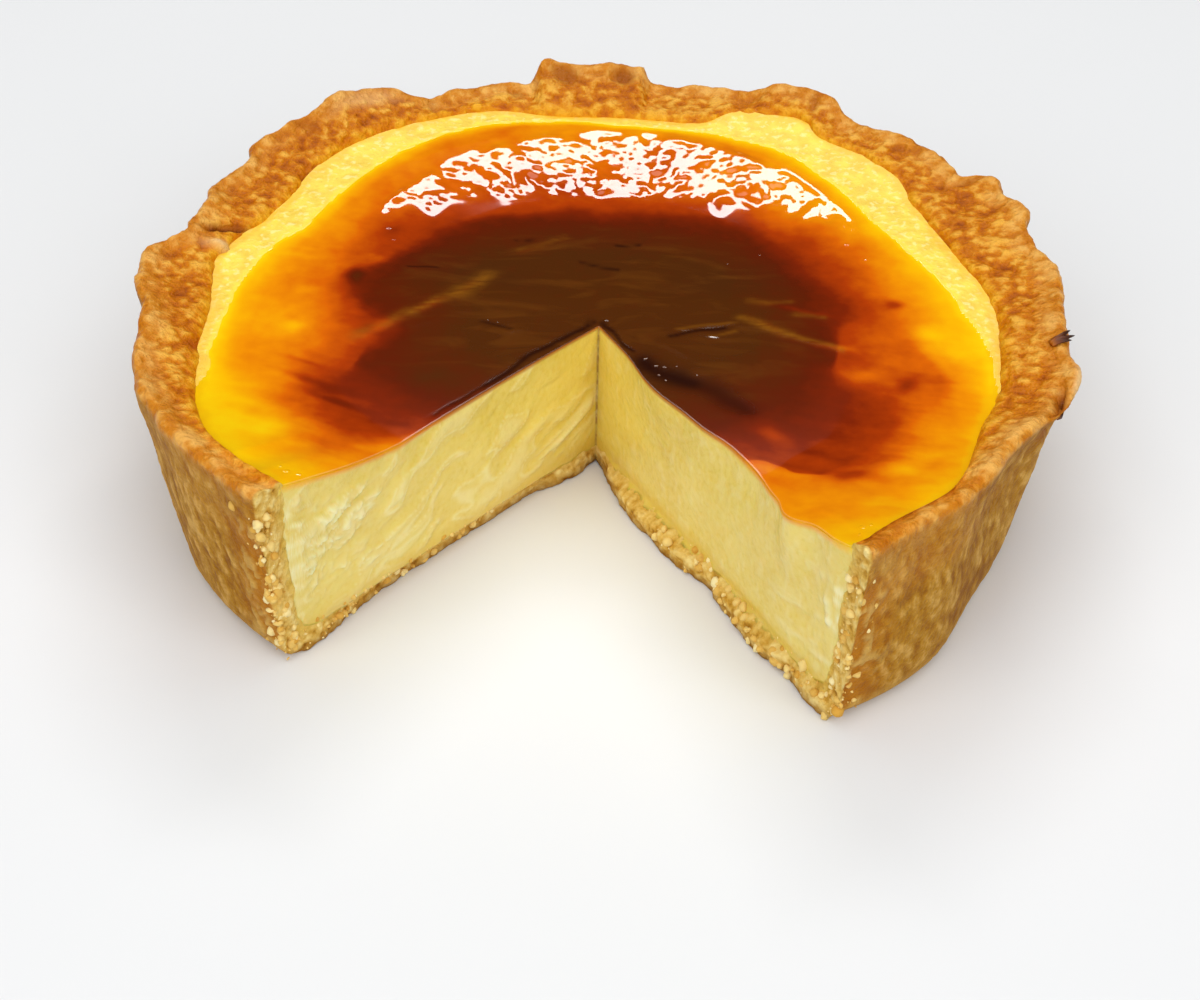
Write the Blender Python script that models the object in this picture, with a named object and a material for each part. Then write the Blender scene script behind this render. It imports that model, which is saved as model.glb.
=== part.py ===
"""A custard flan with one slice taken out: a shortcrust pastry case filled with baked custard.

Units are metres, +Z is up. The origin is the middle of the case's flat underside.
Angles are in degrees about +Z, counted from +X, and the slice is missing around -Y.
"""
from math import cos, radians, sin, tanh

import bmesh
import bpy

MM = 0.001

# Pastry case. The rim's radius and height are those of a plain rim, before its lobes.
RIM_RADIUS = 99.4 * MM
RIM_HEIGHT = 40.8 * MM
RIM_DROP_AT_BACK = 3.2 * MM
RIM_RISE_AT_FRONT = 3.0 * MM
RIM_PULL_IN_AT_BACK = 1.8 * MM
FOOT_RADIUS = 93.8 * MM
FOOT_PULL_IN_AT_BACK = 1.0 * MM
FOOT_ROUND = 4.5 * MM
FLOOR_THICKNESS = 5.0 * MM
FLOOR_FILLET = 5.0 * MM
WALL_THICKNESS = 5.2 * MM
LIP_WIDTH = 3.6 * MM
LIP_ROUND = 2.4 * MM
WALL_BULGE = 0.25 * MM

# Custard. Its edge climbs the pastry, highest beside the two cut faces.
EDGE_RADIUS = 84.0 * MM
EDGE_HEIGHT = 36.6 * MM
EDGE_INSET = 0.8 * MM
EDGE_DROP = 1.3 * MM
CENTRE_HEIGHT = 36.2 * MM
TROUGH_HEIGHT = 35.8 * MM
TROUGH_DROP_AT_BACK = 1.8 * MM
TROUGH_START = 0.45
CLIMB_START = 0.68
CLIMB_START_AT_BACK = 0.55
CLIMB_POWER = 1.2
GAP = 0.35 * MM

# The slice that is gone: a wedge whose point lies a little in front of the centre.
SLICE_POINT = (-0.2 * MM, -9.0 * MM)
SLICE_LEFT_ANGLE = -131.3
SLICE_RIGHT_ANGLE = -58.3
SLICE_REACH = 0.25
SLICE_BELOW = -0.02
SLICE_ABOVE = 0.08

# Lobes and dents: middle, half width and softness of the ends in degrees, then how far
# the place moves outward and upward in millimetres.
RIM_LOBES = (
    (-122.0, 10.0, 5.0, 0.0, 1.3),    # raised corner at the left cut
    (-146.0, 16.0, 6.0, 0.6, 0.0),    # full front left shoulder
    (-158.0, 4.0, 3.0, 0.6, 0.0),
    (-170.0, 5.0, 3.0, -3.2, 0.0),    # waist on the left
    (176.0, 4.0, 2.0, 1.4, 0.0),
    (170.0, 2.4, 1.2, -2.8, -0.2),    # start of the left fold
    (164.6, 5.8, 1.6, -3.8, 0.0),     # left fold, tucked in
    (151.5, 4.0, 1.2, -1.2, 0.5),
    (143.0, 5.0, 1.0, 2.2, 0.6),      # stepped lobe behind the fold
    (136.5, 8.0, 3.0, 1.0, 1.7),
    (128.0, 7.0, 3.2, 4.0, 3.0),      # high round lobe, back left
    (117.5, 2.0, 1.5, -1.0, 0.4),     # dip beside it
    (110.0, 5.0, 3.0, 0.0, 0.9),
    (102.0, 1.5, 1.0, -1.6, -0.5),    # notch left of the flap
    (93.2, 8.2, 0.7, 1.2, 4.6),       # flap standing up at the back
    (97.0, 4.0, 2.0, 0.0, 1.0),
    (79.0, 4.0, 2.0, 0.0, 0.4),
    (71.0, 3.0, 1.6, 1.0, 2.0),
    (61.3, 5.8, 1.4, 3.6, 4.6),       # pointed lobe, back right
    (42.0, 10.0, 4.0, 1.6, 1.3),
    (33.0, 1.8, 1.0, -1.0, -0.2),     # notch on the right
    (28.8, 2.0, 1.0, 1.8, 0.3),       # point of the stepped lobe
    (25.3, 6.0, 1.0, 3.6, 0.9),       # stepped lobe in front of it
    (6.5, 5.0, 2.0, 1.6, 0.0),
    (-4.0, 4.0, 3.0, -1.8, 0.0),
    (-19.5, 6.0, 1.6, 2.4, 0.0),      # curled edge on the right
    (-34.0, 7.0, 3.0, -1.6, 0.0),
    (-63.0, 7.0, 4.0, 3.8, 1.6),      # flared corner at the right cut
)
EDGE_LOBES = (
    (-120.0, 28.0, 12.0, 9.0, 0.0),   # spreads out towards the left cut
    (-148.0, 10.0, 6.0, 2.6, 0.0),
    (-118.0, 26.0, 14.0, 0.0, 7.0),   # climbs towards the left cut
    (-62.0, 24.0, 12.0, 14.5, 0.0),   # spreads out towards the right cut
    (-60.0, 20.0, 12.0, 0.0, 7.0),    # climbs towards the right cut
    (-20.0, 5.0, 5.0, 1.5, 0.0),
    (20.0, 11.0, 6.0, -3.5, 0.0),     # pastry swelling inward on the right
    (50.0, 13.0, 4.0, 3.6, 0.8),
    (64.5, 7.5, 1.8, 4.2, 1.5),       # climbs the pointed lobe
    (88.0, 16.0, 5.0, -3.4, -0.3),    # lowest at the back
    (123.0, 17.0, 6.0, 4.2, -0.2),
    (156.0, 8.0, 4.0, -3.2, 0.0),
    (171.0, 3.0, 2.0, 1.4, 0.0),      # runs into the left fold
    (-176.0, 6.0, 4.0, -1.8, 0.0),
)
# Where the foot swells out beside the two cuts.
FOOT_LOBES = (
    (-56.0, 15.0, 8.0, 7.0, 0.0),
    (-26.0, 10.0, 8.0, 0.5, 0.0),
    (-137.0, 16.0, 7.0, 3.4, 0.0),
)
# Where the lip hangs over the wall below it.
OVERHANG_LOBES = (
    (-26.0, 13.0, 6.0, 3.2, 0.0),
    (-170.0, 12.0, 6.0, 0.8, 0.0),
)
# Ripples round the rim: waves per turn, start in degrees, outward and upward in millimetres.
RIM_RIPPLES = (
    (17.0, 40.0, 0.35, 0.10),
    (31.0, 110.0, 0.25, 0.15),
    (13.0, 70.0, 0.10, 0.25),
    (47.0, 15.0, 0.20, 0.20),
)

STEPS = 180
OUTER_WALL_STOPS = (0.20, 0.45, 0.72)
INNER_SLOPE_STOPS = (0.5,)
INNER_WALL_STOPS = (0.45,)
CUSTARD_TOP_STOPS = (0.96, 0.90, 0.83, 0.75, 0.62, 0.40)

CRUST_COLOUR = (0.58, 0.29, 0.085, 1.0)
CUSTARD_COLOUR = (0.80, 0.66, 0.22, 1.0)


def clear_scene():
    for thing in list(bpy.data.objects):
        bpy.data.objects.remove(thing, do_unlink=True)


def make_material(name, colour, roughness):
    material = bpy.data.materials.new(name)
    material.use_nodes = True
    shader = material.node_tree.nodes["Principled BSDF"]
    shader.inputs["Base Color"].default_value = colour
    shader.inputs["Roughness"].default_value = roughness
    shader.inputs["Metallic"].default_value = 0.0
    return material


def lobe(angle, middle, half_width, softness):
    """One inside the lobe, nought outside it, with soft ends."""
    away = (angle - middle + 180.0) % 360.0 - 180.0
    return 0.5 * (tanh((away + half_width) / softness) - tanh((away - half_width) / softness))


def add_lobes(angle, radius, height, lobes):
    for middle, half_width, softness, outward, upward in lobes:
        share = lobe(angle, middle, half_width, softness)
        radius += outward * MM * share
        height += upward * MM * share
    return radius, height


def back_share(angle):
    """One at the back (+Y), minus one at the front."""
    return sin(radians(angle))


def rim_at(angle):
    """Outermost radius of the rim and the height of its top."""
    back = back_share(angle)
    radius = RIM_RADIUS - RIM_PULL_IN_AT_BACK * max(back, 0.0) ** 2
    height = RIM_HEIGHT - (RIM_DROP_AT_BACK if back > 0.0 else RIM_RISE_AT_FRONT) * back
    radius, height = add_lobes(angle, radius, height, RIM_LOBES)
    for waves, start, outward, upward in RIM_RIPPLES:
        ripple = cos(radians(waves * angle + start))
        radius += outward * MM * ripple
        height += upward * MM * ripple
    return radius, height


def edge_at(angle):
    """Where the custard's top meets the pastry, always inside the rim and below its top."""
    radius, height = add_lobes(angle, EDGE_RADIUS, EDGE_HEIGHT, EDGE_LOBES)
    rim_radius, rim_height = rim_at(angle)
    radius = min(radius, rim_radius - LIP_WIDTH - EDGE_INSET)
    return radius, min(height, rim_height - EDGE_DROP)


def foot_at(angle):
    radius = FOOT_RADIUS - FOOT_PULL_IN_AT_BACK * max(back_share(angle), 0.0)
    return add_lobes(angle, radius, 0.0, FOOT_LOBES)[0]


def between(a, b, share):
    return a + (b - a) * share


def inner_wall(angle):
    """The pastry's inner face, from the custard's edge down to the floor."""
    edge_radius, edge_height = edge_at(angle)
    low_radius = foot_at(angle) - WALL_THICKNESS
    low_height = FLOOR_THICKNESS + FLOOR_FILLET
    low_radius = min(low_radius, edge_radius + 3.0 * MM)
    points = [(edge_radius, edge_height)]
    for stop in INNER_WALL_STOPS:
        points.append((between(edge_radius, low_radius, stop), between(edge_height, low_height, stop)))
    points.append((low_radius, low_height))
    points.append((low_radius - 0.3 * FLOOR_FILLET, FLOOR_THICKNESS + 0.3 * FLOOR_FILLET))
    points.append((low_radius - FLOOR_FILLET, FLOOR_THICKNESS))
    return points


def case_section(angle):
    """Half section of the case at one angle, from the underside's middle round to the floor's."""
    rim_radius, rim_height = rim_at(angle)
    foot = foot_at(angle)
    edge_radius, edge_height = edge_at(angle)
    wall_top = rim_radius - add_lobes(angle, 0.0, 0.0, OVERHANG_LOBES)[0]
    lip_inside = (rim_radius - LIP_WIDTH, rim_height - 0.3 * LIP_ROUND)
    points = [(0.0, 0.0), (0.5 * foot, 0.0), (foot - FOOT_ROUND, 0.0)]
    points.append((foot - 0.3 * FOOT_ROUND, 0.28 * FOOT_ROUND))
    points.append((foot, FOOT_ROUND))
    for stop in OUTER_WALL_STOPS:
        bulge = WALL_BULGE * sin(radians(180.0 * stop))
        radius = between(foot, wall_top, stop) + bulge
        points.append((radius, between(FOOT_ROUND, rim_height, stop)))
    points.append((rim_radius, rim_height - LIP_ROUND))
    points.append((rim_radius - 0.15 * LIP_WIDTH, rim_height - 0.35 * LIP_ROUND))
    points.append((rim_radius - 0.5 * LIP_WIDTH, rim_height))
    points.append(lip_inside)
    for stop in INNER_SLOPE_STOPS:
        radius = between(lip_inside[0], edge_radius, stop)
        height = between(lip_inside[1], edge_height, stop)
        points.append((radius, height))
    points.extend(inner_wall(angle))
    points.append((0.45 * foot, FLOOR_THICKNESS))
    points.append((0.0, FLOOR_THICKNESS))
    return points


def custard_top(angle, share):
    """Radius and height of the custard's top at a share of the way out to its edge."""
    edge_radius, edge_height = edge_at(angle)
    back = max(back_share(angle), 0.0)
    trough = TROUGH_HEIGHT - TROUGH_DROP_AT_BACK * back
    start = between(CLIMB_START, CLIMB_START_AT_BACK, back)
    dip = min(1.0, share / TROUGH_START)
    height = between(CENTRE_HEIGHT, trough, dip * dip * (3.0 - 2.0 * dip))
    climb = max(0.0, (share - start) / (1.0 - start))
    height += (edge_height - trough) * climb ** CLIMB_POWER
    return share * (edge_radius - GAP), height


def custard_section(angle):
    """Half section of the custard at one angle, from the bottom's middle up to the top's."""
    wall = [(radius - GAP, height) for radius, height in inner_wall(angle)]
    wall.reverse()
    floor_height = FLOOR_THICKNESS + GAP
    points = [(0.0, floor_height)]
    points.append((0.45 * foot_at(angle), floor_height))
    points.append((wall[0][0], floor_height))
    points.append((wall[1][0] - 0.5 * GAP, wall[1][1] + 0.5 * GAP))
    points.extend(wall[2:])
    for share in CUSTARD_TOP_STOPS:
        points.append(custard_top(angle, share))
    points.append((0.0, CENTRE_HEIGHT))
    return points


def turn_section(name, section, material):
    """Turn a half section about +Z. The section may change with the angle."""
    shape = bmesh.new()
    columns = []
    first = section(0.0)
    bottom_pole = shape.verts.new((0.0, 0.0, first[0][1]))
    top_pole = shape.verts.new((0.0, 0.0, first[-1][1]))
    for step in range(STEPS):
        angle = 360.0 * step / STEPS
        turn = radians(angle)
        column = [bottom_pole]
        for radius, height in section(angle)[1:-1]:
            column.append(shape.verts.new((radius * cos(turn), radius * sin(turn), height)))
        column.append(top_pole)
        columns.append(column)
    for step in range(STEPS):
        here = columns[step]
        ahead = columns[(step + 1) % STEPS]
        for row in range(len(here) - 1):
            corners = (here[row], ahead[row], ahead[row + 1], here[row + 1])
            shape.faces.new(list(dict.fromkeys(corners)))
    bmesh.ops.triangulate(shape, faces=shape.faces[:])
    bmesh.ops.recalc_face_normals(shape, faces=shape.faces[:])
    mesh = bpy.data.meshes.new(name)
    shape.to_mesh(mesh)
    shape.free()
    mesh.shade_smooth()
    mesh.set_sharp_from_angle(angle=radians(50.0))
    mesh.materials.append(material)
    thing = bpy.data.objects.new(name, mesh)
    bpy.context.collection.objects.link(thing)
    return thing


def slice_cutter():
    """A tall wedge that fills the missing slice and reaches past the rim."""
    shape = bmesh.new()
    plan = [SLICE_POINT]
    for angle in (SLICE_LEFT_ANGLE, SLICE_RIGHT_ANGLE):
        x = SLICE_POINT[0] + SLICE_REACH * cos(radians(angle))
        y = SLICE_POINT[1] + SLICE_REACH * sin(radians(angle))
        plan.append((x, y))
    face = shape.faces.new([shape.verts.new((x, y, SLICE_BELOW)) for x, y in plan])
    raised = bmesh.ops.extrude_face_region(shape, geom=[face])
    top = [item for item in raised["geom"] if isinstance(item, bmesh.types.BMVert)]
    bmesh.ops.translate(shape, verts=top, vec=(0.0, 0.0, SLICE_ABOVE - SLICE_BELOW))
    bmesh.ops.recalc_face_normals(shape, faces=shape.faces[:])
    mesh = bpy.data.meshes.new("slice_cutter")
    shape.to_mesh(mesh)
    shape.free()
    cutter = bpy.data.objects.new("slice_cutter", mesh)
    bpy.context.collection.objects.link(cutter)
    cutter.hide_render = True
    cutter.display_type = 'WIRE'
    return cutter


def take_slice(thing, cutter):
    cut = thing.modifiers.new("missing_slice", 'BOOLEAN')
    cut.operation = 'DIFFERENCE'
    cut.solver = 'EXACT'
    cut.object = cutter


def main():
    clear_scene()
    crust = make_material("baked_crust", CRUST_COLOUR, 0.6)
    custard = make_material("custard", CUSTARD_COLOUR, 0.35)
    cutter = slice_cutter()
    case = turn_section("pastry_case", case_section, crust)
    filling = turn_section("custard_filling", custard_section, custard)
    for thing in (case, filling):
        take_slice(thing, cutter)


main()
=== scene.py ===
"""Looks of a custard flan with one slice taken out.

Lengths here are millimetres until a mesh is made, and +Z is up. Angles are in degrees about
+Z, counted from +X. The slice is missing around -Y, and its point is the middle of a fan of
columns that sweeps every surface from the right cut face round the back to the left one.
"""

import bmesh
import bpy
import numpy as np
from mathutils import Matrix, Vector


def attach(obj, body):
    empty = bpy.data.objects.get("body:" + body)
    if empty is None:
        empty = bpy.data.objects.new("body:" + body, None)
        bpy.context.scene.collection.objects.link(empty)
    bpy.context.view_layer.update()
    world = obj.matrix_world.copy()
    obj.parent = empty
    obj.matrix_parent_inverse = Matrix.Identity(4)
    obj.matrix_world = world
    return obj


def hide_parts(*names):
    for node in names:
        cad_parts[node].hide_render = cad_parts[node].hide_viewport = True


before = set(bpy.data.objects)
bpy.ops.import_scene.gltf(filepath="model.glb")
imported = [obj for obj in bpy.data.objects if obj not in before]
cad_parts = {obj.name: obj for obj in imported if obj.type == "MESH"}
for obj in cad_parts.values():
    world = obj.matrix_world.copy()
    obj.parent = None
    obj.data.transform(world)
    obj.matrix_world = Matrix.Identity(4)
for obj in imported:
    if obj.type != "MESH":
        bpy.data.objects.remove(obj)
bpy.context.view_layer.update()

MM = 0.001

# Pastry case, with the same driving sizes as the solid.
RIM_RADIUS = 99.4
RIM_HEIGHT = 40.8
RIM_DROP_AT_BACK = 3.2
RIM_RISE_AT_FRONT = 3.0
RIM_PULL_IN_AT_BACK = 1.8
FOOT_RADIUS = 93.8
FOOT_PULL_IN_AT_BACK = 1.0
FOOT_ROUND = 4.5
FLOOR_THICKNESS = 5.0
FLOOR_FILLET = 5.0
WALL_THICKNESS = 5.2
WALL_OVERHANG = 3.0               # the most that the inner face widens below the custard's edge
LIP_WIDTH = 3.6
LIP_ROUND = 2.4
WALL_BULGE = 0.25

# Custard: its edge, the shallow ring-shaped trough and the hump in the middle.
EDGE_RADIUS = 84.0
EDGE_HEIGHT = 36.6
EDGE_INSET = 0.8
EDGE_DROP = 1.3
CENTRE_HEIGHT = 36.5
TROUGH_DROP_AT_BACK = 3.0
TROUGH_START = 0.53
CLIMB_START = 0.68
CLIMB_POWER = 1.3
BACK_FULL = 0.8                   # the share of the way to the back where its form is full
SKIN_THICKNESS = 0.3
CRINKLE_DEPTH = 1.2
SKIN_UNDER_SINK = 1.2             # how much lower hidden faces lie, away from the cuts
CUSTARD_TOP_SINK = 0.7 * SKIN_UNDER_SINK
SINK_FULL = 4.0                   # how far behind a cut they lie fully lower
SKIN_LAP = 0.05                   # how far the custard reaches up into its skin
CUSTARD_LAP = 0.5                 # how far it reaches down into the pastry

# The slope behind the dark middle. It rises outward, and a band of it is a little steeper and
# catches the light of the window. Both ends of the band are ellipses: middle in x, half length
# along x and along y. The band's own tilt grows towards its sides.
RAMP_START = 47.0
RAMP_END = 74.0
RAMP_TILT = 5.2                   # degrees
RAMP_ONSET = 1.6
SHELF_POWER = 2.5
BAND_START = (0, 74, 49.3)
BAND_END = (2, 62, 72)
BAND_TILT = 1.9
BAND_TILT_AT_SIDES = 4.0
BAND_SIDES = 57.0
# Scallops of the band's front: height, length and start. They grow towards the left.
BAND_SCALLOPS = (
    (1.0, 1.5, 0.0),
    (0.9, 2.6, 1.0),
)
SCALLOPS_LEFT = 2.0               # how many times as high they are there

SLICE_POINT = np.array((-0.2, -9.0))
SLICE_LEFT_ANGLE = -131.3
SLICE_RIGHT_ANGLE = -58.3

# Lobes and dents: middle, half width and softness of the ends in degrees, then how far
# the place moves outward and upward.
RIM_LOBES = (
    (-122, 10, 5, 0, 1.3),        # raised corner at the left cut
    (-146, 16, 6, 0.6, 0),        # full front left shoulder
    (-158, 4, 3, 0.6, 0),
    (-170, 5, 3, -3.2, 0),        # waist on the left
    (176, 4, 2, 1.4, 0),
    (170, 2.4, 1.2, -2.8, -0.2),  # start of the left fold
    (164.6, 5.8, 1.6, -3.8, 0),   # left fold, tucked in
    (151.5, 4, 1.2, -1.2, 0.5),
    (143, 5, 1, 2.2, 0.6),        # stepped lobe behind the fold
    (136.5, 8, 3, 1, 1.7),
    (128, 7, 3.2, 4, 3),          # high round lobe, back left
    (117.5, 2, 1.5, -1, 0.4),     # dip beside it
    (110, 5, 3, 0, 0.9),
    (102, 1.5, 1, -1.6, -0.5),    # notch left of the flap
    (93.2, 8.2, 0.7, 1.2, 4.6),   # flap standing up at the back
    (97, 4, 2, 0, 1),
    (79, 4, 2, 0, 0.4),
    (71, 3, 1.6, 1, 2),
    (61.3, 5.8, 1.4, 3.6, 4.6),   # pointed lobe, back right
    (42, 10, 4, 1.6, 1.3),
    (33, 1.8, 1, -1, -0.2),       # notch on the right
    (28.8, 2, 1, 1.8, 0.3),       # point of the stepped lobe
    (25.3, 6, 1, 3.6, 0.9),       # stepped lobe in front of it
    (6.5, 5, 2, 1.6, 0),
    (-4, 4, 3, -1.8, 0),
    (-19.5, 6, 1.6, 2.4, 0),      # curled edge on the right
    (-34, 7, 3, -1.6, 0),
    (-63, 7, 4, 3.8, 1.6),        # flared corner at the right cut
)
EDGE_LOBES = (
    (-120, 28, 12, 9, 0),         # spreads out towards the left cut
    (-148, 10, 6, 2.6, 0),
    (-118, 26, 14, 0, 7),         # climbs towards the left cut
    (-62, 24, 12, 14.5, 0),       # spreads out towards the right cut
    (-60, 20, 12, 0, 7),          # climbs towards the right cut
    (-20, 5, 5, 1.5, 0),
    (20, 11, 6, -3.5, 0),         # pastry swelling inward on the right
    (50, 13, 4, 3.6, 0.8),
    (64.5, 7.5, 1.8, 4.2, 1.5),   # climbs the pointed lobe
    (88, 16, 5, -3.4, -0.3),      # lowest at the back
    (123, 17, 6, 4.2, -0.2),
    (156, 8, 4, -3.2, 0),
    (171, 3, 2, 1.4, 0),          # runs into the left fold
    (-176, 6, 4, -1.8, 0),
)
# Where the foot swells out beside the two cuts.
FOOT_LOBES = (
    (-56, 15, 8, 7, 0),
    (-26, 10, 8, 0.5, 0),
    (-137, 16, 7, 3.4, 0),
)
# Where the lip hangs over the wall below it.
OVERHANG_LOBES = (
    (-26, 13, 6, 3.2, 0),
    (-170, 12, 6, 0.8, 0),
)
# Marks on the rim: angle, distance in from the rim, length along the rim, width across it, turn
# in degrees, how deep and how dark. A negative depth is a bulge, a negative dark one is pale.
# The darkness is painted shade in the hollows and the slit. The pale is a painted highlight
# on the bulges and on the top of the high lobe.
RIM_MARKS = (
    (97.2, 5, 9.5, 7, 0, 1, 0.85),         # hollows in the flap at the back
    (88.2, 4.6, 8, 6.5, -4, 1, 0.95),
    (104.6, 5.6, 5, 5, 0, 0.4, 0.5),
    (-22.4, 1.9, 13, 4, 8, 3.2, 1.6),      # hollow behind the curled edge
    (-17, 0.3, 12, 1.8, 4, -0.4, -0.9),
    (165.3, 8.4, 13, 2.8, 128, 2.2, 1.6),  # slit of the left fold
    (169.6, 10.5, 4.5, 11, 8, -1.4, -0.9),
    (59, 5, 3, 9, 20, 0.6, 0.5),
    (31, 4, 2.5, 8, -20, 0.8, 0.5),
    (138, 5, 3, 9, 15, 0.6, 0.4),
    (118, 4, 3, 7, -10, 0.7, 0.45),
    (127, 4, 20, 6, 0, 0, -0.35),          # paler top of the high lobe
)
# Ripples round the rim: waves per turn, start in degrees, outward and upward.
RIM_RIPPLES = (
    (17, 40, 0.35, 0.10),
    (31, 110, 0.25, 0.15),
    (13, 70, 0.10, 0.25),
    (47, 15, 0.20, 0.20),
)

# Browning of the skin, from the dark middle outward: how far it is browned, the radius where
# it is so, and where that place moves outward round the flan (middle, half width, softness).
# The lobes near 90 degrees draw the rings in at the back. There the crisp edge of the dark
# middle and the red band behind it are a painted reflection as well as browning.
BROWNING_CORE_WIDTH = 12.0        # of the fade inward from the first ring to the darkest middle
CREAM_FADE = 2.0                  # beyond the last ring
BROWNING_AND_REFLECTION_RINGS = (
    (0.90, 41, (
        (92, 36, 14, -8), (165, 15, 8, 2), (190, 6, 6, -4),
        (208, 10, 6, 3), (-30, 22, 10, 5),
    )),
    (0.82, 50, (
        (92, 32, 16, -12.5), (20, 25, 15, -6), (150, 10, 8, -4),
        (195, 7, 4, -7), (210, 6, 4, 5), (-40, 20, 10, 4),
    )),
    (0.65, 51, (
        (94, 32, 10, -7), (175, 6, 4, 6.5), (222, 12, 6, 18),
        (0, 5, 4, 7), (-45, 18, 5, 22),
    )),
    (0.50, 60.5, (
        (90, 30, 12, -2.5), (190, 5, 4, -5), (218, 14, 7, 14),
        (0, 5, 4, 6), (-35, 22, 6, 16),
    )),
)
# The same for the outer rings, by angle and radius. The last one is the edge of the film, with
# pale cream beyond it.
OUTER_RINGS = (
    (0.38, (
        (-55, 89), (-40, 86), (-30, 82), (-20, 78.5), (-12, 70.5), (0, 70.5),
        (12, 67.5), (30, 67), (45, 70.5), (60, 74.5), (90, 76), (110, 78.5),
        (125, 75.5), (140, 71.5), (155, 68.5), (170, 70), (180, 72), (190, 74),
        (200, 76), (212, 77.5), (226, 80),
    )),
    (0.25, (
        (-55, 97), (-40, 93), (-30, 88), (-20, 83.5), (-10, 79.5), (0, 76),
        (12, 72), (30, 69.8), (44, 72.8), (60, 77.4), (84, 75.8), (102, 78.4),
        (116, 80.4), (130, 77.6), (150, 71.4), (158, 71), (172, 74.2), (182, 76.8),
        (190, 78), (200, 80.5), (212, 84), (226, 88),
    )),
    (0.12, (
        (-40, 98), (-20, 87.3), (-14, 84.3), (0, 78.3), (10, 74.4), (20, 71.9),
        (32, 71.3), (44, 74.4), (60, 79), (84, 77.1), (102, 79.7), (116, 81.6),
        (130, 79), (150, 72.9), (158, 72.4), (172, 76.4), (190, 80.8), (200, 84.3),
        (215, 96),
    )),
)
# Marks in the browning: x, y, length, width, turn in degrees and how much darker.
BROWNING_SPOTS = (
    (-54, 7, 7, 8, 20, 0.22),
    (-47, 29, 7, 5, 60, 0.12),
    (-45, -11, 13, 3.2, 45, -0.13),
    (-36, -3, 11, 3, 32, -0.15),
    (-29, 4, 10, 3, 60, -0.12),
    (-16.5, 23, 9, 2, 38, -0.08),
    (-64, -13, 10, 7, 160, -0.12),
    (-64, 0, 7, 7, 0, -0.10),
    (-63, -51, 14, 11, 140, -0.12),
    (-57, -33, 22, 3.6, -22, 0.12),
    (-52, -39, 20, 3, -26, 0.12),
    (-60, -26, 18, 2.6, -18, 0.09),
    (-34, -31, 18, 12, -30, 0.10),
    (70, -8, 9, 12, 70, -0.13),
    (61, -56, 14, 8, 50, -0.12),
    (53, -69, 12, 6, 30, -0.06),
    (49.5, -58, 14, 8, 30, 0.15),
    (36, -8, 12, 3, -38, -0.12),
    (48, -13.5, 15, 3.2, -14, -0.15),
    (42, 0, 18, 3, -18, -0.10),
    (53, -24, 12, 8, 30, -0.10),
    (64, 3, 8, 5, 20, 0.16),
    (64, -26, 9, 5, 60, 0.15),
    (34, -45, 14, 7, -50, -0.12),
)
STREAK_TURN = -14.0
STREAK_STRENGTH = 0.035
CLOUD_STRENGTH = 0.07
# Lumps and folds of the skin: x, y, length, width, turn in degrees and height.
SKIN_LUMPS = (
    (-40, 14, 7, 3, 20, 0.05),
    (-44, 10, 5, 2.4, -30, 0.04),
    (-29, -5, 6, 2.2, 40, 0.04),
    (-37, -10, 7, 2.4, 35, 0.04),
    (2, 26, 8, 2.6, 10, 0.05),
    (-1, 15, 9, 3, -15, 0.05),
    (-18, -12, 6, 2.4, 30, 0.04),
    (16, -17, 11, 2.2, -42, 0.05),
    (23, -11, 12, 2.4, -20, 0.04),
    (30, -7, 9, 2.2, -30, 0.04),
)
# Strokes in the dark middle: both ends, width and strength. Light ones are folds of the skin,
# painted lighter as highlights. Dark ones, below zero, are places where the syrup lies thick,
# and dents painted dark as their shade.
SKIN_STROKES = (
    (-50.7, -16, -40.6, -5.6, 5, 0.6),
    (-40.6, -5.6, -30.7, 1.6, 3.6, 0.9),
    (-30.7, 1.6, -25.5, 10.1, 6, 0.8),
    (-18.7, 22.2, -8.8, 29.2, 3, 0.4),
    (30.7, -4.2, 40.2, -10.1, 3.6, 0.9),
    (40.2, -10.1, 50.2, -15.7, 3, 0.7),
    (32, 3, 40, 2, 2.6, 0.4),
    (41, -3, 48, -3.6, 2.6, 0.4),
    (17, -10.2, 28.6, -6.6, 1.6, 0.5),
    (24, -12, 29, -9.6, 1.4, 0.5),
    (9.6, -21.4, 20.4, -29, 8, -1),
    (20.4, -29, 30, -37, 8.5, -0.7),
    (15, -12.6, 27, -8.6, 1.6, -0.9),
    (3, 25.6, 7.5, 27, 1.6, -0.8),
    (-5, 16.4, 4.2, 14.4, 1.4, -0.7),
    (-43, 13.4, -36, 13.8, 1.4, -0.7),
    (-25, -9.4, -19, -11.6, 1.6, -0.7),
    (-1.2, -7.9, -23, -32.6, 2.4, -0.9),
    (-23, -32.6, -32, -42.6, 2, -0.5),
    (0.8, -8.4, 6.8, -17.6, 1.8, -0.9),
    (-20, 27, -16, 28, 1.4, -0.6),
)
# Small drops of syrup on the skin: x, y and radius.
DROPLETS = (
    (9.8, -20.6, 0.55), (12, -23, 0.55), (13.7, -23.4, 0.50), (12.6, -26.2, 0.40),
    (14, -28, 0.35), (20.4, -25.8, 0.35), (16.2, -23, 0.30), (-48.9, 29.1, 0.85),
    (-47.3, 24.4, 0.50), (54.7, 27.5, 0.75), (58.4, 20.9, 0.60), (27.7, 19.9, 0.40),
    (35.1, 24.3, 0.40), (-57.2, -68, 0.80), (-54.8, -68.6, 0.60), (-58.6, -66.4, 0.50),
    (49.8, -79, 0.70), (51.4, -78.2, 0.50), (49, -81.6, 0.45), (-23.8, -8.4, 0.35),
    (-21.6, -9.2, 0.30), (1.4, -7.2, 0.55),
)

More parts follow.
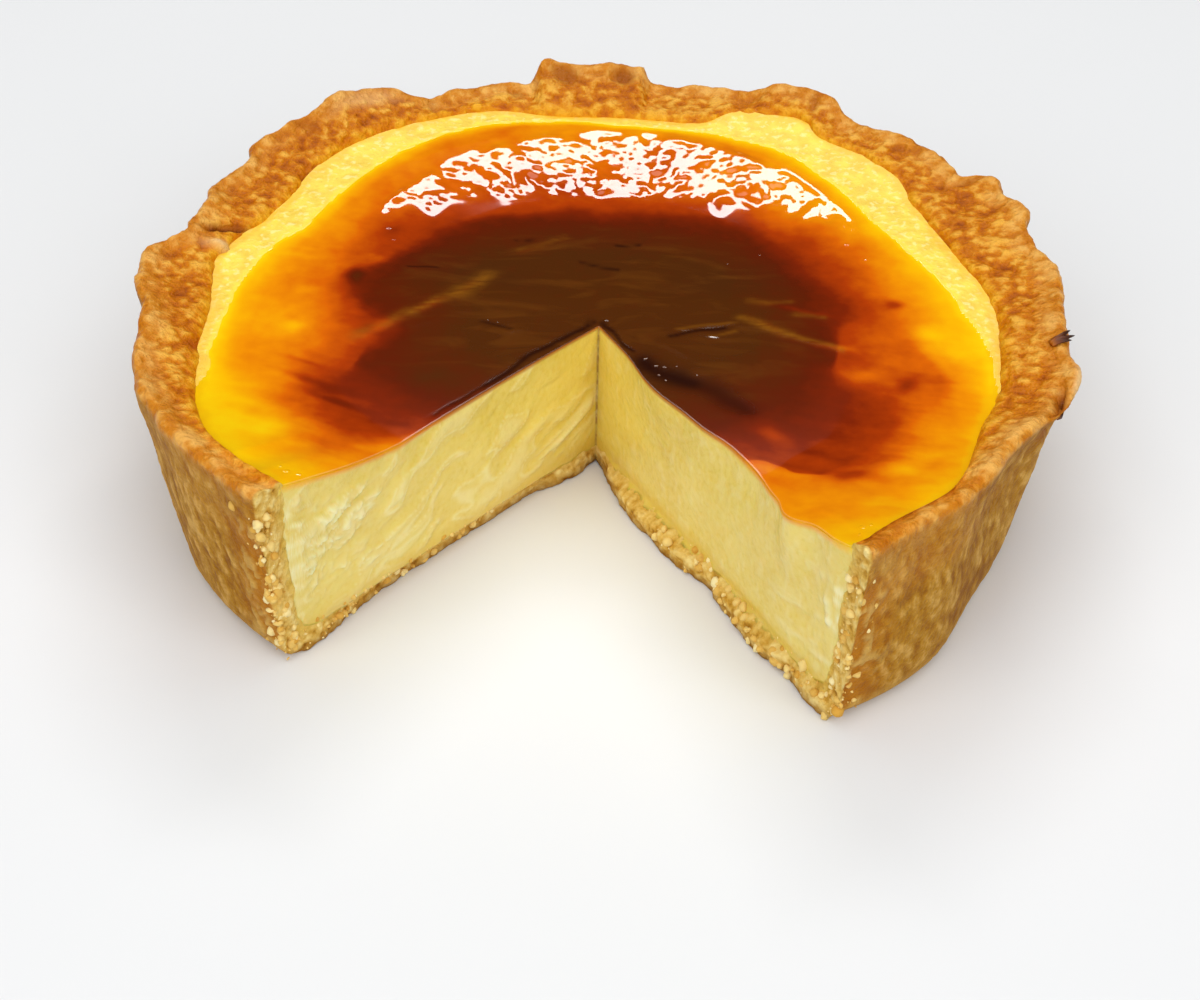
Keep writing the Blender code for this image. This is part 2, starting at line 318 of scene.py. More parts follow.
# Resolution of the meshes. Hidden faces keep one row in HIDDEN_STEP, except beside the cuts.
COLUMNS = 700
WALL_ROWS = 74
FLOOR_ROWS = 126
TOP_ROWS = 128
SECTION_ROWS = 190
HIDDEN_STEP = 14
FINE_COLUMNS = 12
CRUST_CUT_STEPS = 14
CUSTARD_CUT_STEPS = 66
SKIN_CUT_STEPS = 2


# ---- noise

def hashed(cell, seed):
    """A repeatable number from 0 to 1 for each whole-numbered cell."""
    mixed = cell[..., 0] * 73856093 ^ cell[..., 1] * 19349663 ^ cell[..., 2] * 83492791 ^ seed * 97531
    for shift, factor in ((15, 2246822519), (13, 3266489917), (16, 668265263)):
        mixed = ((mixed ^ (mixed >> shift)) * factor) & 0xFFFFFFFF
    return mixed / 4294967295.0


def noise(points, size, seed):
    """Smooth noise from -1 to 1 whose lumps are about `size` across."""
    scaled = points / np.asarray(size, float) + 512.0
    cell = np.floor(scaled).astype(np.int64)
    part = scaled - cell
    part = part * part * (3.0 - 2.0 * part)
    total = np.zeros(points.shape[:-1])
    for corner in np.ndindex(2, 2, 2):
        weight = np.prod(np.where(corner, part, 1.0 - part), axis=-1)
        total += weight * hashed(cell + np.array(corner), seed)
    return 2.0 * total - 1.0


def rough(points, size, octaves, seed, gain=0.5):
    """Noise in several octaves, each half the size of the one before."""
    total = np.zeros(points.shape[:-1])
    height = 1.0
    for octave in range(octaves):
        total += height * noise(points, np.asarray(size, float) / 2.0 ** octave, seed + octave)
        height *= gain
    return total


def blobs(points, size, seed):
    """Distance to the nearest of many scattered points, as a share of `size`."""
    scaled = points / np.asarray(size, float) + 512.0
    cell = np.floor(scaled).astype(np.int64)
    nearest = np.full(points.shape[:-1], 9.0)
    for shift in np.ndindex(3, 3, 3):
        near = cell + np.array(shift) - 1
        middle = near + np.stack([hashed(near, seed + axis) for axis in range(3)], -1)
        nearest = np.minimum(nearest, np.linalg.norm(scaled - middle, axis=-1))
    return nearest


# ---- the flan's form

def smooth(value, low, high):
    """0 below `low`, 1 above `high`, with a smooth rise between."""
    share = np.clip((value - low) / (high - low), 0.0, 1.0)
    return share * share * (3.0 - 2.0 * share)


def between(a, b, share):
    return a + (b - a) * share


def stacked(*parts):
    """Points from their coordinates, each an array or one number."""
    return np.stack(np.broadcast_arrays(*parts), -1)


def polar(x, y):
    """Angle about +Z and radius."""
    return np.degrees(np.arctan2(y, x)), np.hypot(x, y)


def rotated(x, y, turn):
    """Distances along and across a direction."""
    ahead = np.radians(turn)
    return x * np.cos(ahead) + y * np.sin(ahead), y * np.cos(ahead) - x * np.sin(ahead)


def angle_from(middle, angle):
    """Degrees from a middle, the short way round."""
    return (angle - middle + 180.0) % 360.0 - 180.0


def lobe(angle, middle, half_width, softness):
    away = angle_from(middle, angle)
    return 0.5 * (np.tanh((away + half_width) / softness) - np.tanh((away - half_width) / softness))


def add_lobes(angle, radius, height, lobes):
    for middle, half_width, softness, outward, upward in lobes:
        share = lobe(angle, middle, half_width, softness)
        radius = radius + outward * share
        height = height + upward * share
    return radius, height


def back_share(angle):
    """One at the back (+Y), minus one at the front."""
    return np.sin(np.radians(angle))


def rim_at(angle):
    """Outermost radius of the rim and the height of its top."""
    back = back_share(angle)
    radius = RIM_RADIUS - RIM_PULL_IN_AT_BACK * np.maximum(back, 0.0) ** 2
    height = RIM_HEIGHT - np.where(back > 0.0, RIM_DROP_AT_BACK, RIM_RISE_AT_FRONT) * back
    radius, height = add_lobes(angle, radius, height, RIM_LOBES)
    for waves, start, outward, upward in RIM_RIPPLES:
        ripple = np.cos(np.radians(waves * angle + start))
        radius = radius + outward * ripple
        height = height + upward * ripple
    return radius, height


def edge_at(angle):
    """Where the custard's top meets the pastry."""
    radius, height = add_lobes(angle, EDGE_RADIUS, EDGE_HEIGHT, EDGE_LOBES)
    rim_radius, rim_height = rim_at(angle)
    radius = np.minimum(radius, rim_radius - LIP_WIDTH - EDGE_INSET)
    return radius, np.minimum(height, rim_height - EDGE_DROP)


def foot_at(angle):
    radius = FOOT_RADIUS - FOOT_PULL_IN_AT_BACK * np.maximum(back_share(angle), 0.0)
    return add_lobes(angle, radius, 0.0, FOOT_LOBES)[0]


def ellipse(x, middle, along_x, along_y):
    """The y of an ellipse's far side, or zero where x lies beyond its ends."""
    return along_y * np.sqrt(np.clip(1.0 - ((x - middle) / along_x) ** 2, 0.0, None))


def band_ends(x):
    """The y where the steeper band begins, in scallops, and where it ends."""
    start = ellipse(x, *BAND_START)
    scallops = sum(depth * np.sin(x / length + begin) for depth, length, begin in BAND_SCALLOPS)
    scallops = scallops * between(1.0, SCALLOPS_LEFT, smooth(x, -20.0, -45.0))
    start = start + scallops * smooth(start, 4.0, 14.0)
    return start, np.maximum(start, ellipse(x, *BAND_END))


def climb(run, tilt):
    """Height gained over a distance on an even slope with a soft start."""
    run = np.where(run < RAMP_ONSET, 0.5 * run ** 2 / RAMP_ONSET, run - 0.5 * RAMP_ONSET)
    return run * np.tan(np.radians(tilt))


def ramp_rise(x, y):
    """How high a point lies up the slope behind the middle."""
    start, end = band_ends(x)
    run = np.clip(np.hypot(x, y) - RAMP_START, 0.0, RAMP_END - RAMP_START)
    band_tilt = between(BAND_TILT, BAND_TILT_AT_SIDES, np.clip((x / BAND_SIDES) ** 2, 0.0, 1.0))
    return climb(run, RAMP_TILT) + climb(np.clip(y - start, 0.0, end - start), band_tilt)


def top_height(x, y):
    """Height of the custard's glazed top."""
    angle, radius = polar(x, y)
    edge_radius, edge_height = edge_at(angle)
    share = radius / edge_radius
    back = smooth(back_share(angle), 0.0, BACK_FULL)
    trough = CENTRE_HEIGHT - TROUGH_DROP_AT_BACK * back
    height = between(CENTRE_HEIGHT, trough, smooth(share, 0.0, TROUGH_START))
    side_climb = np.clip((share - CLIMB_START) / (1.0 - CLIMB_START), 0.0, None)
    side = height + (edge_height - trough) * side_climb ** CLIMB_POWER
    # At the back the top rises as an even slope, and the rest of the climb lies by the pastry.
    edge_x = edge_radius * np.cos(np.radians(angle))
    edge_y = edge_radius * np.sin(np.radians(angle))
    shelf = np.clip((radius - RAMP_END) / (edge_radius - RAMP_END), 0.0, None)
    rest = edge_height - trough - ramp_rise(edge_x, edge_y)
    rear = height + ramp_rise(x, y) + rest * shelf ** SHELF_POWER
    return between(side, rear, back)


def inner_ends(angle):
    """Radius and height of the pastry's inner face at the custard's edge and above its fillet."""
    edge_radius, edge_height = edge_at(angle)
    low_radius = np.minimum(foot_at(angle) - WALL_THICKNESS, edge_radius + WALL_OVERHANG)
    return edge_radius, edge_height, low_radius, FLOOR_THICKNESS + FLOOR_FILLET


def outer_wall_top(angle):
    """Radius that the outer wall leans to, at the height of the rim."""
    return rim_at(angle)[0] - add_lobes(angle, 0.0, 0.0, OVERHANG_LOBES)[0]


def inner_wall(angle):
    """Control points of the pastry's inner face, from the custard's edge to the floor."""
    edge_radius, edge_height, low_radius, low_height = inner_ends(angle)
    flat = np.ones_like(angle)
    return [
        (edge_radius, edge_height),
        (between(edge_radius, low_radius, 0.45), between(edge_height, low_height, 0.45)),
        (low_radius, low_height * flat),
        (low_radius - 0.3 * FLOOR_FILLET, (FLOOR_THICKNESS + 0.3 * FLOOR_FILLET) * flat),
        (low_radius - FLOOR_FILLET, FLOOR_THICKNESS * flat),
    ]


def case_wall(angle):
    """Control points of the case's wall, from its foot over the lip to the floor."""
    rim_radius, rim_height = rim_at(angle)
    foot = foot_at(angle)
    edge_radius, edge_height = edge_at(angle)
    flat = np.ones_like(angle)
    wall_top = outer_wall_top(angle)
    lip_inside = (rim_radius - LIP_WIDTH, rim_height - 0.3 * LIP_ROUND)
    points = [
        (foot - FOOT_ROUND, 0.0 * flat),
        (foot - 0.3 * FOOT_ROUND, 0.2 * FOOT_ROUND * flat),
        (foot, FOOT_ROUND * flat),
    ]
    for stop in (0.2, 0.45, 0.72):
        bulge = WALL_BULGE * np.sin(np.pi * stop)
        points.append((between(foot, wall_top, stop) + bulge, between(FOOT_ROUND, rim_height, stop)))
    points += [
        (rim_radius, rim_height - LIP_ROUND),
        (rim_radius - 0.1 * LIP_WIDTH, rim_height - 0.2 * LIP_ROUND),
        (rim_radius - 0.5 * LIP_WIDTH, rim_height + 0.3),
        lip_inside,
        (between(lip_inside[0], edge_radius, 0.5), between(lip_inside[1], edge_height, 0.5)),
    ]
    return points + inner_wall(angle)


SPLINE_PUSH = 0.14
LIP_TOP = 8                       # places along the list that case_wall() returns
CUSTARD_EDGE = 11
WALL_END = 15


def spline(points, position):
    """Radius and height of a smooth curve near control points, for each row's position along them."""
    last = len(points) - 1
    stop = np.minimum(np.floor(position).astype(int), last - 1)
    part = position - stop
    weights = (
        (1.0 - part) ** 3 / 6.0,
        (3.0 * part ** 3 - 6.0 * part ** 2 + 4.0) / 6.0,
        (-3.0 * part ** 3 + 3.0 * part ** 2 + 3.0 * part + 1.0) / 6.0,
        part ** 3 / 6.0,
    )
    values = np.array(points)
    # The curve cuts inside its points, so they are first pushed out by as much.
    values[1:-1] += SPLINE_PUSH * (2.0 * values[1:-1] - values[:-2] - values[2:])
    # One more point beyond each end makes the curve begin and end on the first and the last.
    values = np.concatenate([2 * values[:1] - values[1:2], values, 2 * values[-1:] - values[-2:-1]])
    rows = np.arange(len(position))
    curve = 0.0
    for shift, weight in enumerate(weights):
        curve = curve + weight[:, None, None] * values[stop + shift, :, rows]
    return curve[:, 0], curve[:, 1]


def even_positions(first, last, count):
    """Places along case_wall() at equal steps of length, as measured at the left of the flan."""
    position = np.linspace(first, last, 400)
    radius, height = spline(case_wall(np.full((len(position), 1), 180.0)), position)
    step = np.hypot(np.diff(radius[:, 0]), np.diff(height[:, 0]))
    length = np.concatenate([[0.0], np.cumsum(step)])
    return np.interp(np.linspace(0.0, length[-1], count), length, position)


# ---- the fan of columns

FAN_ANGLES = np.linspace(SLICE_RIGHT_ANGLE, SLICE_LEFT_ANGLE + 360.0, COLUMNS)
FAN = stacked(np.cos(np.radians(FAN_ANGLES)), np.sin(np.radians(FAN_ANGLES)))


def sweep(section, rows):
    """Points, by row and column, whose radius and height follow `section` round the fan."""
    angle = np.tile(FAN_ANGLES, (rows, 1))
    ahead = FAN @ SLICE_POINT
    for _ in range(5):
        radius, height = section(angle)
        length = np.sqrt(ahead ** 2 + radius ** 2 - SLICE_POINT @ SLICE_POINT) - ahead
        x = SLICE_POINT[0] + length * FAN[:, 0]
        y = SLICE_POINT[1] + length * FAN[:, 1]
        angle = np.degrees(np.arctan2(y, x))
    return stacked(x, y, height)


def spokes(rim, share):
    """Plan of rows at shares of the way from the slice's point to a row of points."""
    return [between(SLICE_POINT[axis], rim[None, :, axis], share[:, None]) for axis in (0, 1)]


def flat_rows(rim, count, height):
    """Rows at one height from the slice's point out to, and not including, a row of points."""
    return stacked(*spokes(rim, np.arange(count) / count), height)


class Shell:
    """Vertices and faces of one closed piece, gathered grid by grid."""

    def __init__(self):
        self.points = []
        self.count = 0
        self.faces = []

    def add(self, points):
        """Adds a grid of points and returns the grid of their numbers."""
        index = self.count + np.arange(points[..., 0].size).reshape(points.shape[:-1])
        self.points.append(points.reshape(-1, 3))
        self.count += index.size
        return index

    def quads(self, index):
        corners = stacked(index[:-1, :-1], index[:-1, 1:], index[1:, 1:], index[1:, :-1])
        self.faces += [list(dict.fromkeys(face)) for face in corners.reshape(-1, 4).tolist()]

    def wrap(self, index, kept):
        """Faces over the whole fan with only the kept rows, but with every row beside the cuts."""
        self.quads(index[:, :FINE_COLUMNS])
        self.quads(index[:, -FINE_COLUMNS:])
        self.quads(index[kept][:, FINE_COLUMNS:-FINE_COLUMNS])
        for edge, beyond in ((FINE_COLUMNS - 1, FINE_COLUMNS), (-FINE_COLUMNS, -FINE_COLUMNS - 1)):
            for low, high in zip(kept[:-1], kept[1:]):
                side = index[low:high + 1, edge].tolist() + [index[high, beyond], index[low, beyond]]
                self.faces.append(list(dict.fromkeys(side)))

    def cut(self, outer, inner, steps, shared):
        """Fills the strip between two chains that meet at their last points.

        Both cuts share their row at the slice's point, which is `shared` once it is made.
        """
        cloud = np.concatenate(self.points)
        share = np.arange(1, steps)[None, :, None] / steps
        middle = between(cloud[outer][:, None], cloud[inner][:, None], share)
        rows = self.add(middle)
        rows[-1] = outer[-1]
        if shared is not None:
            rows[0] = shared
        index = np.concatenate([outer[:, None], rows, inner[:, None]], 1)
        self.quads(index)
        return rows[0]

    def close(self, loop, kept, half, steps):
        """Draws each end row together, wraps the fan and fills the two cut faces."""
        loop[0] = loop[0, 0]
        loop[-1] = loop[-1, 0]
        self.wrap(loop, kept)
        shared = None
        for column in (0, -1):
            shared = self.cut(loop[:half, column], loop[::-1][:half, column], steps, shared)
        return self

    def mesh(self, name, change):
        """The mesh in metres, after `change` has moved its points."""
        faces = [face for face in self.faces if len(face) > 2]
        used, place = np.unique(np.concatenate(faces), return_inverse=True)
        ends = np.cumsum([len(face) for face in faces])[:-1]
        points = np.concatenate(self.points)[used]
        mesh = bpy.data.meshes.new(name)
        mesh.from_pydata((points * MM).tolist(), [], [part.tolist() for part in np.split(place, ends)])
        shape = bmesh.new()
        shape.from_mesh(mesh)
        bmesh.ops.recalc_face_normals(shape, faces=shape.faces[:])
        shape.to_mesh(mesh)
        shape.free()
        normals = np.empty(len(points) * 3)
        mesh.vertex_normals.foreach_get("vector", normals)
        points = change(mesh, points, normals.reshape(-1, 3))
        mesh.vertices.foreach_set("co", (points * MM).ravel())
        mesh.shade_smooth()
        mesh.update()
        return mesh


# ---- how the cuts wander

# Where a cut face leaves its plane: middle, half width and softness of the place along the cut
# from the slice's point, then how far it is set back into the flan.
RIGHT_CUT_WAVES = (
    (24, 7, 5, -1.7),
    (53, 9, 4, 2.1),
    (73.5, 3.5, 2.5, -2.6),
    (86, 3, 3, -0.8),
)
LEFT_CUT_WAVES = (
    (30, 20, 10, 0.5),
    (68, 8, 6, -0.4),
)
# The same for the pastry base alone, which sticks out on the right and draws in on the left.
RIGHT_BASE_WAVES = (
    (48, 42, 4, -1.9),
    (22, 9, 5, -1.4),
    (37, 5, 3, -1.4),
    (48, 2.5, 2, 1.2),
    (64, 5, 3, -1),
    (77, 2.5, 2, 1),
)
LEFT_BASE_WAVES = (
    (43, 28, 5, 2.3),
    (7, 4, 3, -0.8),
    (82, 4, 3, -0.8),
)
BASE_TOP = 3.0                    # height up to which the base's own waves are full
BASE_FADE = 2.2
CUT_REACH = 7.0                   # how far behind a cut its waves are felt

CUTS = (
    (SLICE_RIGHT_ANGLE, 1.0, RIGHT_CUT_WAVES, RIGHT_BASE_WAVES),
    (SLICE_LEFT_ANGLE, -1.0, LEFT_CUT_WAVES, LEFT_BASE_WAVES),
)


def cut_axes(angle, side):
    """Directions along a cut and into the flan."""
    turn = np.radians(angle)
    return np.array((np.cos(turn), np.sin(turn))), side * np.array((-np.sin(turn), np.cos(turn)))


def cut_places(points):
    """For each cut: distance along it, depth behind it and the direction into the flan."""
    for angle, side, waves, base_waves in CUTS:
        ahead, inward = cut_axes(angle, side)
        flat = points[..., :2] - SLICE_POINT
        yield flat @ ahead, flat @ inward, inward, waves, base_waves


def sum_of_lobes(along, waves):
    return sum(shift * lobe(along, middle, half, soft) for middle, half, soft, shift in waves)


def bend_cuts(points):
    """Moves the points near the two cuts so that the faces wander as a knife's cut does."""
    moved = points.copy()
    for along, depth, inward, waves, base_waves in cut_places(points):
        near = np.exp(-(depth / CUT_REACH) ** 2) * smooth(along, 1.0, 7.0)
        base = smooth(points[..., 2], BASE_TOP + BASE_FADE, BASE_TOP)
        upper = between(0.15, 1.0, smooth(points[..., 2], 20.0, 36.0))
        shift = upper * sum_of_lobes(along, waves) + base * sum_of_lobes(along, base_waves)
        moved[..., :2] += (shift * near)[..., None] * inward
    return moved


def cut_nearness(points, width):
    """1 on a cut face, fading to 0 over `width` behind it."""
    near = np.zeros(points.shape[:-1])
    for along, depth, _, _, _ in cut_places(points):
        near = np.maximum(near, smooth(np.abs(depth), width, 0.0) * (along > -1.0))
    return near


def write_fields(mesh, **fields):
    """Keeps one number a point under each name, for the materials."""
    for name, values in fields.items():
        field = mesh.attributes.new(name, 'FLOAT', 'POINT')
        field.data.foreach_set("value", np.asarray(values, np.float32))


def new_mesh(name, points, faces, **fields):
    mesh = bpy.data.meshes.new(name)
    mesh.from_pydata((points * MM).tolist(), [], faces)
    mesh.shade_smooth()
    write_fields(mesh, **fields)
    return mesh


def place_piece(name, mesh, material, node=None):
    mesh.materials.append(material)
    piece = bpy.data.objects.new(name, mesh)
    bpy.context.collection.objects.link(piece)
    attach(piece, "root")
    if node:
        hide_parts(node)


# ---- pastry case

def crust_shell():
    outer = even_positions(0, LIP_TOP, WALL_ROWS)
    inner = even_positions(LIP_TOP, WALL_END, WALL_ROWS)
    positions = np.concatenate([outer, inner[1:]])
    wall = sweep(lambda angle: spline(case_wall(angle), positions), len(positions))
    under = flat_rows(wall[0], FLOOR_ROWS, 0.0)
    floor = flat_rows(wall[-1], FLOOR_ROWS, FLOOR_THICKNESS)
    shell = Shell()
    loop = shell.add(np.concatenate([under, wall, floor[::-1]]))
    rows = len(loop)
    seen = FLOOR_ROWS + np.searchsorted(positions, CUSTARD_EDGE + 0.6)
    kept = np.unique(np.concatenate([
        np.arange(0, FLOOR_ROWS, HIDDEN_STEP),
        np.arange(FLOOR_ROWS, seen),
        np.arange(seen, rows, HIDDEN_STEP),
        [rows - 1],
    ]))
    return shell.close(loop, kept, (rows + 1) // 2, CRUST_CUT_STEPS)


# Relief of the pastry in millimetres. A pair is for the slope inside and for the lip.
WALL_LUMPS = 0.50
WALL_FLAKES = 0.15
WALL_GRAIN = 0.08
WALL_SCALES = 0.55
RIM_FOLDS = 0.42
RIM_GRAIN = 0.10
RIM_PEBBLES = (0.62, 0.18)
RIM_CREASES = (0.25, 0.2)
CUT_FOLDS = 0.35
CUT_GRAIN = 0.25
CUT_CRUMBS = 0.55


def depth_in_pastry(angle, radius, height):
    """How far a point of the pastry lies from the filling."""
    edge_radius, edge_height, low_radius, low_height = inner_ends(angle)
    share = (height - low_height) / (edge_height - low_height)
    from_side = radius - between(low_radius, edge_radius, np.clip(share, 0.0, 1.0))
    from_floor = FLOOR_THICKNESS - height
    return np.maximum(from_side, from_floor)


def rim_marks(angle, from_rim):
    """Depth and darkness of the marks on the rim: painted shade in hollows, painted highlight where pale."""
    depth = np.zeros_like(angle)
    dark = np.zeros_like(angle)
    for middle, inset, length, width, turn, deep, shade in RIM_MARKS:
        along = np.radians(angle_from(middle, angle)) * RIM_RADIUS
        share = np.clip(1.5 * spot(along, from_rim, 0.0, inset, length, width, turn), 0.0, 1.0)
        depth += deep * share
        dark += shade * share
    return depth, dark


def shape_crust(mesh, points, normals):
    x, y, height = points.T
    angle, radius = polar(x, y)
    edge_radius, _ = edge_at(angle)
    outward = (normals[:, 0] * x + normals[:, 1] * y) / np.maximum(radius, 1.0)
    cut = cut_nearness(points, 0.6)
    wall = smooth(outward, 0.1, 0.6) * smooth(height, 0.5, 4.0) * (1.0 - cut)
    upper = smooth(normals[:, 2], -0.2, 0.4) * smooth(radius, edge_radius - 2.0, edge_radius + 1.0)
    upper = upper * smooth(height, 25.0, 32.0) * (1.0 - cut)
    rim_radius, rim_height = rim_at(angle)
    from_custard = radius - edge_radius
    from_rim = rim_radius - radius
    lumps = rough(points, 15.0, 2, 11)
    folds = rough(points, 5.5, 3, 21)
    pebbles = 0.62 - blobs(points + 0.5 * folds[:, None], 2.6, 31)
    grain = rough(points, 1.6, 2, 41)
    turned = np.radians(angle) * radius
    slanted = stacked(turned + 0.5 * height, height - 0.4 * turned, radius)
    flakes = rough(slanted, (1.6, 3.4, 2.4), 3, 51)
    leaning = stacked(turned + 0.8 * from_rim, 0.35 * from_rim, height)
    creases = 0.35 - np.abs(rough(leaning, 6.5, 2, 56))
    flaky = wall * cut_nearness(points, 15.0) * smooth(height, 40.0, 32.0)
    scales = smooth(rough(points, (2.6, 2.6, 3.2), 3, 61), 0.05, 0.35)
    lift = wall * (WALL_LUMPS * lumps + WALL_FLAKES * flakes + WALL_GRAIN * grain)
    lift += WALL_SCALES * flaky * scales
    free = smooth(from_custard, -0.2, 1.6)
    on_lip = smooth(from_rim, 6.5, 3.0)
    lift += upper * free * (RIM_FOLDS * folds + RIM_GRAIN * grain)
    lift += upper * free * (between(*RIM_PEBBLES, on_lip) * pebbles + between(*RIM_CREASES, on_lip) * creases)
    marked, dark = rim_marks(angle, from_rim)
    marks_here = smooth(radius, edge_radius - 2.0, edge_radius + 1.0) * smooth(height, 30.0, 36.0)
    marks_here = marks_here * (1.0 - cut) * smooth(normals[:, 2], -0.9, -0.3)
    lift -= marks_here * marked
    crumbs = 0.55 - blobs(points + 0.4 * folds[:, None], 1.7, 35)
    inside = depth_in_pastry(angle, radius, height)
    lift += cut * smooth(inside, 0.2, 1.6) * (CUT_FOLDS * folds + CUT_GRAIN * grain + CUT_CRUMBS * crumbs)
    moved = bend_cuts(points) + normals * lift[:, None]
    moved[:, 2] += cut * smooth(height, 1.0, 3.0) * smooth(height, 6.0, 4.6) * (0.7 * crumbs + 0.2 * grain)
    moved[:, 2] = np.maximum(moved[:, 2], 0.0)
    write_fields(
        mesh,
        relief=0.5 + 0.5 * np.clip(1.3 * pebbles + 0.40 * folds + 0.25 * creases, -1.0, 1.0),
        crumb=cut,
        crumb_lumps=0.5 + 0.5 * np.clip(1.2 * crumbs + 0.5 * grain, -1.0, 1.0),
        smear=smooth(inside + 0.9 * folds, 2.6, 1.2) * smooth(height, 3.6, 5.2),
        upper=upper,
        # Painted shade in the rim's hollows, then a painted highlight on its bulges.
        dark=np.clip(dark, 0.0, 1.6) * marks_here,
        pale=np.clip(-dark, 0.0, 1.0) * marks_here,
        from_custard=from_custard,
        from_rim=from_rim,
        below_rim=rim_height - height,
        height=height,
        flaky=flaky,
        scales=scales,
        flakes=0.5 + 0.5 * np.clip(flakes + 0.4 * lumps, -1.0, 1.0),
    )
    return moved


# ---- crumbs

CRUMB_COUNTS = (("wall", 90), ("base", 110), ("beside", 50))    # for each cut
CRUMB_RADII = (0.20, 1.15)


def wall_radius(angle, height):
    """Radius of the case's outer wall at a height."""
    share = np.clip((height - FOOT_ROUND) / (rim_at(angle)[1] - FOOT_ROUND), 0.0, 1.0)
    return between(foot_at(angle), outer_wall_top(angle), share)


def reach(ahead, radius):
    """Distance from the slice's point, going `ahead`, to a circle about the flan's middle."""
    start = ahead @ SLICE_POINT
    return np.sqrt(start ** 2 + radius ** 2 - SLICE_POINT @ SLICE_POINT) - start


def crumb_centres(random):
    for angle, side, _, _ in CUTS:
        ahead, inward = cut_axes(angle, side)
        for place, count in CRUMB_COUNTS:
            depth = random.uniform(-0.15, 0.45, count)
            if place == "base":
                height = random.uniform(0.4, 5.0, count) ** 1.1
                share = random.uniform(0.15, 1.0, count) ** 0.6
                along = reach(ahead, wall_radius(angle, height)) * share - 0.5
            else:
                height = random.uniform(2.0, 38.0, count)
                along = reach(ahead, wall_radius(angle, height)) - random.uniform(-0.3, 3.4, count)
            if place == "beside":
                depth = random.exponential(2.2, count)
                along = reach(ahead, wall_radius(angle, height)) - 0.09 * depth + 0.2
            flat = SLICE_POINT + along[:, None] * ahead + depth[:, None] * inward
            yield bend_cuts(np.concatenate([flat, height[:, None]], 1))


def make_crumbs():
    random = np.random.default_rng(7)
    ball = bmesh.new()
    bmesh.ops.create_icosphere(ball, subdivisions=2, radius=1.0)
    corners = np.array([tuple(corner.co) for corner in ball.verts])
    faces = np.array([[corner.index for corner in face.verts] for face in ball.faces])
    ball.free()
    points = []
    shades = []
    for centre in np.concatenate(list(crumb_centres(random))):
        size = between(*CRUMB_RADII, random.random() ** 2.4)
        lumpy = 1.0 + 0.40 * rough(corners + random.uniform(0.0, 90.0), 1.0, 2, 171)[:, None]
        stretched = corners * lumpy * random.uniform(0.7, 1.2, 3)
        points.append(centre + size * stretched)
        shades.append(np.full(len(corners), random.random()))
    count = len(points)
    whole = (faces[None] + len(corners) * np.arange(count)[:, None, None]).reshape(-1, 3)
    points = np.concatenate(points)
    points[:, 2] = np.maximum(points[:, 2], 0.0)
    mesh = new_mesh("crumbs", points, whole.tolist(), shade=np.concatenate(shades))
    stops = (0.0, 214, 160, 62), (0.3, 232, 190, 98), (0.7, 243, 213, 132), (1.0, 250, 234, 176)
    place_piece("crumbs", mesh, shade_paint("crumbs", 0.15, 0.6, *stops))


# The burnt tip on the right of the rim: angle, radius and height of its ends.
TIP_ROOT = (-10.4, 95, 41)
TIP_ENDS = ((-7.8, 98.6, 42.2), (-8.5, 99.6, 41.8), (-9.6, 99, 41.8))
TIP_THICKNESS = 0.85
TIP_SIDES = 10
TIP_RINGS = 14


def make_tip():
    """Prongs that taper from one root, each a closed bent cone."""
    def placed(angle, radius, height):
        turn = np.radians(angle)
        return np.array((radius * np.cos(turn), radius * np.sin(turn), height))

    root = placed(*TIP_ROOT)
    points = []
    shades = []
    faces = []
    for end in TIP_ENDS:
        ahead = placed(*end) - root
        side = np.cross(ahead, (0.0, 0.0, 1.0))
        side /= np.linalg.norm(side)
        upward = np.cross(side, ahead) / np.linalg.norm(ahead)
        start = sum(len(ring) for ring in points)
        for ring in range(TIP_RINGS):
            share = ring / (TIP_RINGS - 1.0)
            thick = TIP_THICKNESS * (1.0 - share) ** 0.6 + 0.02
            turn = 2.0 * np.pi * np.arange(TIP_SIDES) / TIP_SIDES
            wobble = 1.0 + 0.3 * np.sin(3.0 * turn + 5.0 * share)
            around = (np.cos(turn) * wobble)[:, None] * side + (0.6 * np.sin(turn) * wobble)[:, None] * upward
            points.append(root + share * ahead + 0.5 * np.sin(np.pi * share) * upward + thick * around)
            shades.append(np.full(TIP_SIDES, share))
        index = start + np.arange(TIP_RINGS * TIP_SIDES).reshape(TIP_RINGS, TIP_SIDES)
        beside = np.roll(index, -1, axis=1)
        quads = stacked(index[:-1], beside[:-1], beside[1:], index[1:]).reshape(-1, 4)
        faces += quads.tolist() + [index[0, ::-1].tolist(), index[-1].tolist()]
    mesh = new_mesh("burnt_tip", np.concatenate(points), faces, shade=np.concatenate(shades))
    stops = (0.0, 178, 100, 16), (0.25, 116, 56, 8), (0.6, 74, 34, 8), (1.0, 40, 22, 10)
    place_piece("burnt_tip", mesh, shade_paint("burnt_tip", 0.3, 0.45, *stops))


# ---- custard and its skin

# How far the custard and its skin run into the pastry, and where the skin has its full
# thickness, as shares of the way from the slice's point to the pastry.
CUSTARD_REACH = 1.012
SKIN_REACH = 1.014
SKIN_FULL = 0.992
SKIN_SHARP_ANGLE = np.radians(50.0)


